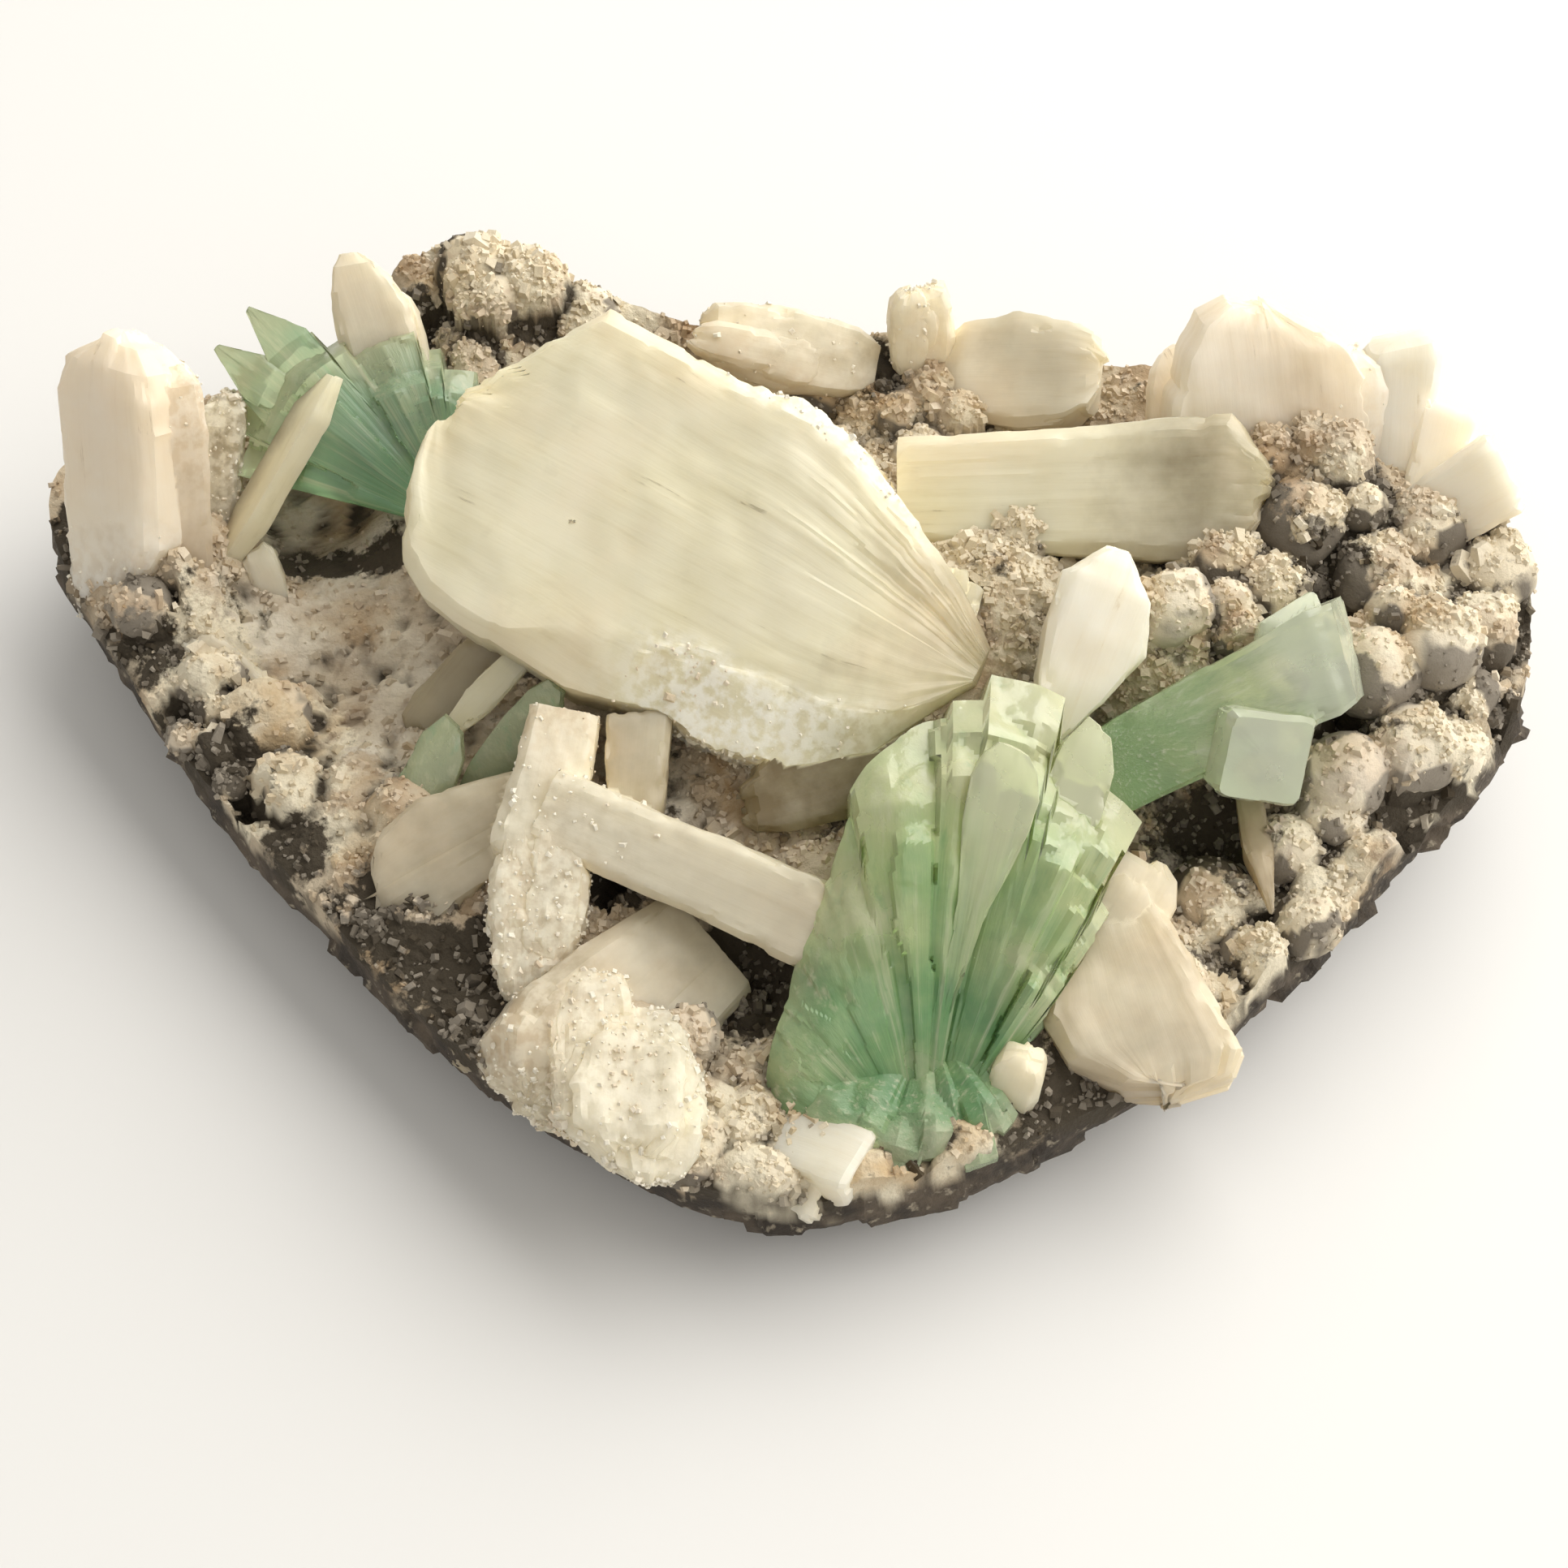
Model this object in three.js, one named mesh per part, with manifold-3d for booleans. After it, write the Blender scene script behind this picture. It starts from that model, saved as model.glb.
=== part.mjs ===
// Apophyllite and stilbite crystals on a slab of basalt, a cabinet specimen that rests on its broken base.
// Millimetres, +Z up, the display side towards -Y. The origin is the middle of the flat resting face.
import * as THREE from 'three';
import { mergeVertices } from 'three/addons/utils/BufferGeometryUtils.js';
import Module from 'manifold-3d';

const wasm = await Module();
wasm.setup();

// ---------------------------------------------------------------- driving dimensions
const CONTACT_GAP = 0.3; // clearance between a crystal and what it grew on
const GROUND_LEVEL = 15; // general height of the slab's crystal-bearing side
const FOOT_SHARE = 0.52; // the resting face is the rim's outline drawn in to this share
const CREST_RISE = 4.5; // the top edge of the slab's wall stands this far over its widest line
const CREST_SHARE = 0.985; // the top edge of the wall is the rim's outline drawn in to this share
const SHOULDER = 0.65; // share of the crest's rise that the wall reaches at its top edge
const CREST_WIDTH = 0.17; // share of the rim over which the crest blends into the relief
const WALL_POWER = 1.8; // above 1 the wall is undercut: it starts flat at the foot and steepens
const LOWEST_WALL = 0.4; // the wall's first corners stay this high off the resting face
const WALL_ROUGHNESS = 0.7; // how far broken rock steps in and out
const WALL_LIFT = 0.6; // share of the roughness that also lifts or drops a corner of the wall
const TYPICAL_REACH = 60; // a step of rock over this distance gives its share of the rim's reach
const DISPLAY_SIDE = new THREE.Vector3(0, -0.57, 0.82); // most broad crystal faces look this way

// The widest line round the slab, anticlockwise from its right-hand end: [x, y, height].
const RIM = [
  [70, 8, 14], [68.5, 18, 17], [61, 32, 17], [50, 41, 16], [35, 41.5, 14], [19, 44.5, 13],
  [0, 45.5, 13], [-15, 48, 16], [-34, 53.5, 18], [-46, 46, 17], [-66, 43, 15], [-72, 32, 13],
  [-70, 20, 11], [-58, 1, 8], [-47, -13, 8], [-29, -33, 8], [-15, -43, 7], [-2, -48, 7],
  [14, -45, 7], [33, -35, 7], [54, -16, 9], [66, -3, 12],
];

// Swells and hollows of the crystal-bearing side: [x, y, rise, reach].
const RELIEF = [
  [-41, 10, -5, 14], [-47, 28, -5, 8], [-29, 47, 10, 10], [-63, 17, 2, 8], [-37, 46, -4, 5],
  [12, 4, 5, 14], [20, 12, 8, 8], [38, 7, 9, 9], [55, 2, 8, 12], [50, 20, 10, 10],
  [62, 9, 3, 8], [52, -12, 3, 8], [50, 10, -9, 3.5], [49, -3, -8, 4], [38, -13, -6, 5.5],
  [-3.5, -26, -6, 4.5], [14, 38, 3, 9], [4, -42, -2, 12], [-28, -26, -3, 6],
];

// Knobs of the drusy crust: [x, y, radius]. Each one sits on the relief.
const KNOBS = [
  [48, 15, 3.4], [54, 11, 3.6], [59, 4, 4.2], [53, 1, 3.4], [64, 7, 3.8], [66, 13, 3.2], [59, 16, 3.6],
  [45, 22, 3.2], [51, 22, 3.8], [56, -6, 4.2], [50, -9, 3.4], [60, -5, 3.2], [52, -15, 3.2],
  [45, -14, 3.4], [38, -19, 3.6], [42, -24, 3], [34, -27, 2.8], [46, -20, 2.6],
  [40, 11, 3.2], [45, 8, 3.4], [35, 5, 2.8], [22, 15, 3],
  [-48, 2, 4], [-54, 6, 3], [-45, -6, 3.2], [-60, 12, 2.6], [-34, -10, 2.8],
  [-30, 48, 3.8], [-25, 47, 3.4], [-36, 49, 3.4], [-20, 45, 2.8],
  [-7, -43, 2.6], [-3, -45, 2.4], [7, -45, 2.6], [3, 39, 2.8],
];
const KNOB_SINK = 0.15; // share of its radius by which a knob's centre lies under the surface
const ROUND_KNOB = 4.1; // a knob of at least this radius is rounded, and a smaller one has twenty flat faces

// ---------------------------------------------------------------- crystal habits
// A section is a polygon across the crystal: [share of the half width, share of the half thickness].
const TABLET = [[1, 0.5], [0.8, 1], [-0.8, 1], [-1, 0.5], [-1, -0.5], [-0.8, -1], [0.8, -1], [1, -0.5]];
const SQUARE = [[1, 1], [-1, 1], [-1, -1], [1, -1]];
const OBLONG = [[1, 0], [0.7, 1], [-0.7, 1], [-1, 0], [-0.7, -1], [0.7, -1]];

// Stations run from the root to the tip: [share of the length, left width, right width, thickness].
const HABITS = {
  sheaf: { section: TABLET, stations: [
    [0, 0.3, 0.3, 0.7], [0.07, 0.69, 0.79, 0.85], [0.16, 0.94, 1.15, 0.95], [0.25, 1.03, 1.08, 1],
    [0.61, 0.9, 1.02, 1], [0.83, 0.96, 1, 0.95], [0.94, 0.64, 0.7, 0.75], [1, 0.27, 0.15, 0.45]] },
  blade: { section: TABLET, stations: [
    [0, 0.75, 0.75, 0.8], [0.76, 1, 1, 1], [0.92, 0.78, 0.78, 0.8], [1, 0.4, 0.4, 0.4]] },
  prism: { section: TABLET, stations: [[0, 0.85, 0.85, 0.85], [0.5, 0.92, 0.92, 1], [0.96, 1, 1, 1], [1, 0.92, 0.9, 0.9]] },
  slant: { section: TABLET, stations: [
    [0, 0.9, 0.9, 0.9], [0.55, 1, 1, 1], [0.8, 1, 1, 0.95], [0.93, 0.5, 0.95, 0.7], [1, 0.25, 0.7, 0.4]] },
  fan: { section: TABLET, stations: [
    [0, 0.4, 0.4, 0.6], [0.35, 0.62, 0.62, 0.85], [0.8, 1, 0.95, 1], [0.95, 0.85, 0.9, 0.75], [1, 0.55, 0.7, 0.45]] },
  sail: { section: TABLET, stations: [
    [0, 0.5, 1, 0.8], [0.3, 0.75, 0.98, 1], [0.75, 0.6, 0.55, 0.8], [1, 0.2, 0.2, 0.35]] },
  lump: { section: TABLET, stations: [
    [0, 0.55, 0.55, 0.6], [0.2, 0.9, 0.88, 0.95], [0.6, 1, 1, 1], [0.87, 0.78, 0.74, 0.72], [1, 0.4, 0.36, 0.35]] },
  splinter: { section: OBLONG, stations: [[0, 0.8, 0.8, 0.8], [0.5, 1, 1, 1], [1, 0.15, 0.15, 0.2]] },
  pyramid: { section: SQUARE, stations: [[0, 0.6, 0.6, 0.7], [0.74, 1, 1, 1], [1, 0.14, 0.14, 0.14]] },
  block: { section: SQUARE, stations: [[0, 0.85, 0.85, 0.85], [0.85, 1, 1, 1], [1, 0.86, 0.86, 0.86]] },
};

// ---------------------------------------------------------------- materials
const stone = (color, roughness) => new THREE.MeshStandardMaterial({ color, roughness, metalness: 0 });
const BASALT = stone(0x8a7a64, 0.95);
const STILBITE = stone(0xe6d9b8, 0.5);
const PALE_STILBITE = stone(0xf2ead6, 0.5);
const TAN_STILBITE = stone(0xc4ab84, 0.6);
const APOPHYLLITE = stone(0x6fa77e, 0.15);

// ---------------------------------------------------------------- building tools
// A closed geometry as a manifold solid, without the triangles that shrink to a line when points merge.
function solidOf(geometry) {
  const merged = mergeVertices(geometry, 1e-4);
  const corners = merged.index.array;
  const triVerts = [];
  for (let t = 0; t < corners.length; t += 3) {
    const [a, b, c] = corners.subarray(t, t + 3);
    if (a !== b && b !== c && c !== a) {
      triVerts.push(a, b, c);
    }
  }
  return new wasm.Manifold(new wasm.Mesh({
    numProp: 3,
    vertProperties: merged.getAttribute('position').array,
    triVerts: new Uint32Array(triVerts),
  }));
}

// A closed geometry from rings of equally many points, with a fan over the first ring and the last.
function ringsGeometry(rings) {
  const across = rings[0].length;
  const index = [];
  for (let k = 0; k + 1 < rings.length; k++) {
    for (let j = 0; j < across; j++) {
      const a = k * across + j;
      const b = k * across + (j + 1) % across;
      index.push(a, b, b + across, a, b + across, a + across);
    }
  }
  const last = (rings.length - 1) * across;
  for (let j = 1; j + 1 < across; j++) {
    index.push(0, j + 1, j);
    index.push(last, last + j, last + j + 1);
  }
  const geometry = new THREE.BufferGeometry();
  geometry.setAttribute('position', new THREE.Float32BufferAttribute(rings.flat(2), 3));
  return geometry.setIndex(index);
}

// One crystal along local X, grown outwards by gap on every side.
function crystalGeometry({ length, width, thickness, habit }, gap) {
  const { section, stations } = HABITS[habit];
  const rings = stations.map(([along, left, right, thick]) => section.map(([u, v]) => [
    along * (length + 2 * gap) - gap,
    u * ((u < 0 ? left : right) * width / 2 + gap),
    v * (thick * thickness / 2 + gap),
  ]));
  return ringsGeometry(rings);
}

// A crystal row as a solid in place: it runs from root to tip with its broad face turned to facing.
function crystalSolid(row, gap = 0) {
  const root = new THREE.Vector3(...row.root);
  const tip = new THREE.Vector3(...row.tip);
  const facing = row.facing ? new THREE.Vector3(...row.facing) : DISPLAY_SIDE;
  const along = tip.clone().sub(root);
  const length = along.length();
  along.normalize();
  const acrossWay = facing.clone().cross(along).normalize();
  const thickWay = along.clone().cross(acrossWay);
  const place = new THREE.Matrix4().makeBasis(along, acrossWay, thickWay).setPosition(root);
  return solidOf(crystalGeometry({ ...row, length }, gap).applyMatrix4(place));
}

const joined = (solids) => solids.reduce((a, b) => a.add(b));
const biggestBody = (solid) => solid.decompose().reduce((a, b) => (b.volume() > a.volume() ? b : a));

// A solid as a named mesh whose own origin is the given point.
function meshOf(name, solid, material, origin) {
  const { vertProperties, triVerts } = solid.getMesh();
  const geometry = new THREE.BufferGeometry();
  geometry.setAttribute('position', new THREE.BufferAttribute(new Float32Array(vertProperties), 3));
  geometry.setIndex(new THREE.BufferAttribute(new Uint32Array(triVerts), 1));
  geometry.translate(-origin[0], -origin[1], -origin[2]);
  geometry.computeVertexNormals();
  const mesh = new THREE.Mesh(geometry, material);
  mesh.name = name;
  mesh.position.set(...origin);
  return mesh;
}

// ---------------------------------------------------------------- the slab of basalt
const AROUND = 48;
const WALL_RINGS = [0.65, 0.78, 0.9]; // shares of the rim between the resting face and the widest line
const TOP_RINGS = [0.94, 0.85, 0.74, 0.6, 0.44, 0.26];
const INNER_SHARE = 0.7; // inside this share of the rim every second corner is left out

function reliefHeight(x, y) {
  let height = GROUND_LEVEL;
  for (const [cx, cy, rise, reach] of RELIEF) {
    height += rise * Math.exp(-((x - cx) ** 2 + (y - cy) ** 2) / reach ** 2);
  }
  return height;
}

// A repeatable step in or out for each corner of the broken rock, from -1 to 1.
function chip(ring, j) {
  const wave = Math.sin(ring * 12.9898 + j * 78.233) * 43758.5453;
  return 2 * (wave - Math.floor(wave)) - 1;
}

function slabSolid() {
  const rim = new THREE.CatmullRomCurve3(RIM.map((p) => new THREE.Vector3(...p)), true, 'catmullrom', 0.5);
  const corners = Array.from({ length: AROUND }, (_, j) => rim.getPoint(j / AROUND));
  const ring = (share, heightOf, number) => corners.map((_, k) => {
    const j = share < INNER_SHARE ? k - k % 2 : k;
    const rough = WALL_ROUGHNESS * chip(number, j);
    const reach = share + (share > FOOT_SHARE ? rough / TYPICAL_REACH : 0);
    return [corners[j].x * reach, corners[j].y * reach, heightOf(corners[j], rough)];
  });
  const rings = [ring(FOOT_SHARE, () => 0, 0)];
  WALL_RINGS.forEach((share, k) => {
    const climb = ((share - FOOT_SHARE) / (1 - FOOT_SHARE)) ** WALL_POWER;
    rings.push(ring(share, (c, rough) => Math.max(LOWEST_WALL, c.z * climb + rough * WALL_LIFT), k + 1));
  });
  rings.push(ring(1, (c) => c.z, 11));
  rings.push(ring(CREST_SHARE, (c) => c.z + CREST_RISE * SHOULDER, 12));
  TOP_RINGS.forEach((share, k) => {
    const inward = Math.min(1, (CREST_SHARE - share) / CREST_WIDTH); // blends from the crest to the relief
    rings.push(ring(share, (c, rough) => {
      const relief = reliefHeight(c.x * share, c.y * share);
      return (c.z + CREST_RISE) * (1 - inward) + relief * inward + rough;
    }, 13 + k));
  });
  return solidOf(ringsGeometry(rings));
}

function knobSolid([x, y, radius]) {
  const ball = new THREE.IcosahedronGeometry(radius, radius < ROUND_KNOB ? 0 : 1);
  ball.deleteAttribute('normal');
  ball.deleteAttribute('uv');
  ball.rotateX(x).rotateZ(y);
  ball.translate(x, y, reliefHeight(x, y) - KNOB_SINK * radius);
  return solidOf(ball);
}

// ---------------------------------------------------------------- the crystals
// Each group has grown together into one solid. Rows give root and tip points, width and thickness.
const FAN_ROOT = [11.5, -34.5, 13];
const LEFT_SPRAY_ROOT = [-35.5, 28, 19.5];
const ray = (root, tip, width, thickness, habit = 'pyramid') => ({ root, tip, width, thickness, habit });

const GROUPS = [
  { name: 'stilbite_sheaf', material: STILBITE, rows: [
    { root: [15.5, 0.5, 22], tip: [-32.5, 23.5, 34], width: 32, thickness: 11, habit: 'sheaf' },
    { root: [12.5, 20.5, 24], tip: [41.5, 18.5, 27.5], width: 10, thickness: 9, habit: 'prism' },
    { root: [12, -6, 19], tip: [-8, -12, 19.5], width: 8, thickness: 7, habit: 'blade' }] },
  { name: 'stilbite_cross', material: PALE_STILBITE, rows: [
    { root: [-20.5, -13.5, 20.5], tip: [3.5, -24.5, 19], width: 7.5, thickness: 7, habit: 'prism' },
    { root: [-20.5, -12.5, 20], tip: [-22.5, -29, 13.5], width: 8, thickness: 7, habit: 'lump' },
    { root: [-18, -9.5, 20], tip: [-36, -17, 14], width: 10, thickness: 5, habit: 'fan' },
    { root: [-23, -15, 18], tip: [-17, -4, 25], width: 7, thickness: 5, habit: 'blade' },
    { root: [-13.5, -12.5, 17.5], tip: [-12.8, -3.1, 21], width: 6, thickness: 5, habit: 'prism' }] },
  { name: 'stilbite_front', material: PALE_STILBITE, rows: [
    { root: [-8, -22.5, 12.5], tip: [-21.5, -38, 13], width: 14, thickness: 8, habit: 'blade' },
    { root: [-13.5, -33.5, 15], tip: [-13, -45, 14.5], width: 13.5, thickness: 9, habit: 'lump' }] },
  { name: 'stilbite_front_chip', material: TAN_STILBITE, rows: [
    { root: [-22, -28, 9], tip: [-29, -32.5, 10.5], width: 5, thickness: 4, habit: 'blade' }] },
  { name: 'stilbite_front_block', material: PALE_STILBITE, rows: [
    { root: [-1, -40.5, 10.5], tip: [6.8, -45, 13], width: 6.5, thickness: 5.5, habit: 'blade' },
    { root: [-2.5, -41, 10], tip: [3.5, -46.8, 10.5], width: 5, thickness: 4, habit: 'prism' },
    { root: [-0.5, -40, 10], tip: [-5, -35, 13.5], width: 2.4, thickness: 1.6, habit: 'splinter' }] },
  { name: 'stilbite_front_fan', material: STILBITE, rows: [
    { root: [27, -16.5, 17], tip: [32.2, -38, 13], width: 14.5, thickness: 8, habit: 'fan' },
    { root: [26, -22, 18], tip: [34.2, -20, 21], width: 8.5, thickness: 6, habit: 'lump' }] },
  { name: 'stilbite_white_block', material: PALE_STILBITE, rows: [
    { root: [24.5, -7, 23], tip: [31, 6.5, 31], width: 8, thickness: 6.5, habit: 'blade' }] },
  { name: 'stilbite_left_prism', material: STILBITE, rows: [
    { root: [-62, 13.5, 15], tip: [-62, 32, 34.5], width: 12.5, thickness: 9, habit: 'slant' },
    { root: [-56.8, 14.5, 15], tip: [-56.6, 30.5, 31], width: 4.5, thickness: 9.5, habit: 'prism' }] },
  { name: 'stilbite_left_shard', material: PALE_STILBITE, rows: [
    { root: [-55, 24, 14], tip: [-53.5, 34.5, 24], width: 6.5, thickness: 3.5, habit: 'prism' }] },
  { name: 'stilbite_left_blade', material: STILBITE, rows: [
    { root: [-52, 20.5, 14], tip: [-43, 31.5, 27.5], width: 4.2, thickness: 2.2, habit: 'blade' }] },
  { name: 'stilbite_left_fin', material: STILBITE, rows: [
    { root: [-36.5, 33.5, 20], tip: [-41, 43.5, 32], width: 8.5, thickness: 4, habit: 'blade' }] },
  { name: 'stilbite_back_left', material: STILBITE, rows: [
    { root: [9, 42, 18.5], tip: [-8, 41.5, 23.5], width: 6.5, thickness: 6, habit: 'lump' }] },
  { name: 'stilbite_back_middle', material: STILBITE, rows: [
    { root: [14, 40, 17], tip: [13.3, 44.2, 27.5], width: 6.5, thickness: 5, habit: 'blade' },
    { root: [16, 40.5, 19], tip: [31.5, 36, 23.5], width: 9, thickness: 6.5, habit: 'lump' }] },
  { name: 'stilbite_back_right', material: STILBITE, rows: [
    { root: [48, 22, 21], tip: [43, 35, 35], width: 20, thickness: 7, habit: 'sail' }] },
  { name: 'stilbite_right_blocks', material: PALE_STILBITE, rows: [
    { root: [58, 22.5, 18], tip: [57.5, 33, 31], width: 6.5, thickness: 5, habit: 'prism' },
    { root: [57, 17.5, 19], tip: [67, 19.5, 27], width: 8, thickness: 6, habit: 'prism' }] },
  { name: 'stilbite_cavity_blade', material: STILBITE, rows: [
    { root: [-22.5, 4, 22.5], tip: [-33, -3, 14], width: 3, thickness: 1.8, habit: 'splinter' }] },
  { name: 'stilbite_cavity_slab', material: TAN_STILBITE, rows: [
    { root: [-26, 8.5, 18.5], tip: [-34, 1, 12], width: 5, thickness: 3, habit: 'prism' }] },
  { name: 'stilbite_cavity_stub', material: PALE_STILBITE, rows: [
    { root: [-47.5, 15.5, 8], tip: [-50.5, 21, 15], width: 3.4, thickness: 2.8, habit: 'prism' }] },
  { name: 'stilbite_cavity_flake', material: PALE_STILBITE, rows: [
    { root: [-47, 5, 9], tip: [-56, 10, 15], width: 5, thickness: 2.6, habit: 'blade' }] },
  { name: 'stilbite_grey_prism', material: TAN_STILBITE, rows: [
    { root: [41.5, -9, 17], tip: [42.5, -22.5, 18], width: 2.8, thickness: 2.6, habit: 'splinter' }] },
  { name: 'stilbite_small_cream', material: STILBITE, rows: [
    { root: [18.5, -37, 9], tip: [22.5, -31, 16], width: 2.8, thickness: 2.2, habit: 'blade' }] },
  { name: 'apophyllite_fan', material: APOPHYLLITE, rows: [
    ray(FAN_ROOT, [8.6, -5, 22], 8, 8), ray(FAN_ROOT, [11.8, -4.3, 26], 8.5, 9),
    ray(FAN_ROOT, [16, -4.6, 28], 9, 9), ray(FAN_ROOT, [20.2, -5, 28], 9, 9),
    ray(FAN_ROOT, [23.8, -7.3, 26], 8, 8), ray(FAN_ROOT, [27, -7.6, 24], 6.5, 7),
    ray(FAN_ROOT, [29, -11.5, 22], 7, 7), ray(FAN_ROOT, [26.2, -19.7, 19], 7, 7),
    ray(FAN_ROOT, [22.8, -26.5, 16.5], 6.5, 7), ray(FAN_ROOT, [4.5, -18, 20], 8, 8),
    ray(FAN_ROOT, [0.5, -29, 17], 8, 8), ray(FAN_ROOT, [0, -36.5, 13.5], 7, 6),
    { root: [13, -31, 11], tip: [15, -46.5, 11.5], width: 9.5, thickness: 8, habit: 'block' },
    { root: [15, -34, 11], tip: [19.8, -43.5, 12], width: 6.5, thickness: 7, habit: 'pyramid' }] },
  { name: 'apophyllite_prism', material: APOPHYLLITE, rows: [
    { root: [27.5, -10, 21], tip: [50, -1, 28.5], width: 9.5, thickness: 9, habit: 'block' },
    { root: [41, -5, 19], tip: [41.2, -12, 27.5], width: 9.3, thickness: 9, habit: 'block',
      facing: [0, 0.82, 0.57] },
    { root: [44, -6, 22], tip: [49.5, 3.5, 30], width: 7.5, thickness: 4, habit: 'pyramid' }] },
  { name: 'apophyllite_left_spray', material: APOPHYLLITE, rows: [
    ray(LEFT_SPRAY_ROOT, [-53.5, 39, 27], 7, 4.5), ray(LEFT_SPRAY_ROOT, [-54.5, 36.5, 25], 6.5, 4),
    ray(LEFT_SPRAY_ROOT, [-45, 39.5, 28.5], 8.5, 4), ray(LEFT_SPRAY_ROOT, [-49.3, 32, 22.5], 6.5, 4),
    ray(LEFT_SPRAY_ROOT, [-38, 37, 28], 7.5, 5), ray(LEFT_SPRAY_ROOT, [-44, 27, 18.5], 6, 4)] },
  { name: 'apophyllite_small_left', material: APOPHYLLITE, rows: [
    { root: [-36, -12.5, 11.5], tip: [-29.5, -3, 19], width: 5, thickness: 2.6, habit: 'pyramid' }] },
  { name: 'apophyllite_small_right', material: APOPHYLLITE, rows: [
    { root: [-28.5, -7, 14], tip: [-20, -1.5, 23], width: 4.2, thickness: 2.2, habit: 'pyramid' }] },
];

// ---------------------------------------------------------------- assembly
const specimen = new THREE.Group();
let slab = joined([slabSolid(), ...KNOBS.map(knobSolid)]);
const earlier = []; // clearance shapes of the groups that are already in place
for (const { name, material, rows } of GROUPS) {
  const clearances = rows.map((row) => crystalSolid(row, CONTACT_GAP));
  let solid = joined(rows.map((row) => crystalSolid(row)));
  for (const grown of earlier) {
    solid = solid.subtract(grown);
  }
  specimen.add(meshOf(name, biggestBody(solid), material, rows[0].root));
  const grownGroup = joined(clearances);
  slab = slab.subtract(grownGroup);
  earlier.push(grownGroup);
}
specimen.add(meshOf('basalt_slab', biggestBody(slab), BASALT, [0, 0, 0]));

export default specimen;
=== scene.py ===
"""Dresses a mineral specimen: basalt with its drusy crust, cream stilbite and clear green apophyllite."""
import math

import bpy
import numpy as np
from mathutils import Matrix, Vector


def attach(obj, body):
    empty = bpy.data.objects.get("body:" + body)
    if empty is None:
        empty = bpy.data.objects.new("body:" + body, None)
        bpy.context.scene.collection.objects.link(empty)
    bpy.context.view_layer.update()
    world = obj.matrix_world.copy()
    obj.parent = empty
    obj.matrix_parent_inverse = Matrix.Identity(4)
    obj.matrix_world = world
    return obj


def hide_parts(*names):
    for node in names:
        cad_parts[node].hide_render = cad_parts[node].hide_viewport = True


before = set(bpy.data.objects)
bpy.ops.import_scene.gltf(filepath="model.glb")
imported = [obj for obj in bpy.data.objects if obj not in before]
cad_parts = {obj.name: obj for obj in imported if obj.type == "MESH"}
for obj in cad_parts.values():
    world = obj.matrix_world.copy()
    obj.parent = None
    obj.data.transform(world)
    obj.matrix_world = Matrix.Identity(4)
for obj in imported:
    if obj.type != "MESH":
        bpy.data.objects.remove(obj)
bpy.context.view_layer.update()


# ---------------------------------------------------------------- the table and the light
# The specimen lies on a plain white sheet, seen from above its display side. A wide soft
# window stands behind it on the right, so the shade falls to the front left.
MM = 0.001
VIEW_POINT = Vector((0, -8, 17)) * MM
VIEW_ELEVATION = math.radians(55)
VIEW_DISTANCE = 288 * MM
HALF_VIEW = 70.5 * MM  # half of what the square frame takes in at the view point
SHEET_SIZE = 4.0
WINDOW_PLACE = (0.58, 0.42, 0.45)
ROOM_PLACE = (0.1, -0.6, 0.7)
SKY = (1, 0.975, 0.92, 1)
SKY_STRENGTH = 0.43


def plain_material(name, color, roughness):
    """A new Principled material with the given colour and roughness, and its shader node."""
    material = bpy.data.materials.new(name)
    material.use_nodes = True
    shader = material.node_tree.nodes["Principled BSDF"]
    shader.inputs["Base Color"].default_value = (*color, 1)
    shader.inputs["Roughness"].default_value = roughness
    return material, shader


def soft_light(name, place, size, power, color):
    """A square area light at a place in metres, aimed at the specimen."""
    lamp = bpy.data.lights.new(name, "AREA")
    lamp.size = size
    lamp.energy = power
    lamp.color = color
    light = bpy.data.objects.new(name, lamp)
    light.location = place
    light.rotation_euler = (VIEW_POINT - Vector(place)).to_track_quat("-Z", "Y").to_euler()
    bpy.context.collection.objects.link(light)


camera = bpy.data.objects.new("camera", bpy.data.cameras.new("camera"))
camera.data.lens = camera.data.sensor_width / 2 * VIEW_DISTANCE / HALF_VIEW
camera.data.clip_start = 0.01
view_back = Vector((0, -math.cos(VIEW_ELEVATION), math.sin(VIEW_ELEVATION)))
camera.location = VIEW_POINT + view_back * VIEW_DISTANCE
camera.rotation_euler = (-view_back).to_track_quat("-Z", "Y").to_euler()
bpy.context.collection.objects.link(camera)
bpy.context.scene.camera = camera

bpy.ops.mesh.primitive_plane_add(size=SHEET_SIZE)
sheet = bpy.context.object
sheet.name = "white_sheet"
sheet.data.materials.append(plain_material("white_sheet", (0.8, 0.79, 0.77), 0.75)[0])

soft_light("window", WINDOW_PLACE, size=1.6, power=22, color=(1, 0.98, 0.94))
soft_light("room", ROOM_PLACE, size=0.8, power=1.2, color=(1, 0.98, 0.95))
world = bpy.data.worlds.new("world")
world.use_nodes = True
world.node_tree.nodes["Background"].inputs["Color"].default_value = SKY
world.node_tree.nodes["Background"].inputs["Strength"].default_value = SKY_STRENGTH
bpy.context.scene.world = world
bpy.context.scene.view_settings.view_transform = "Standard"


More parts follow.
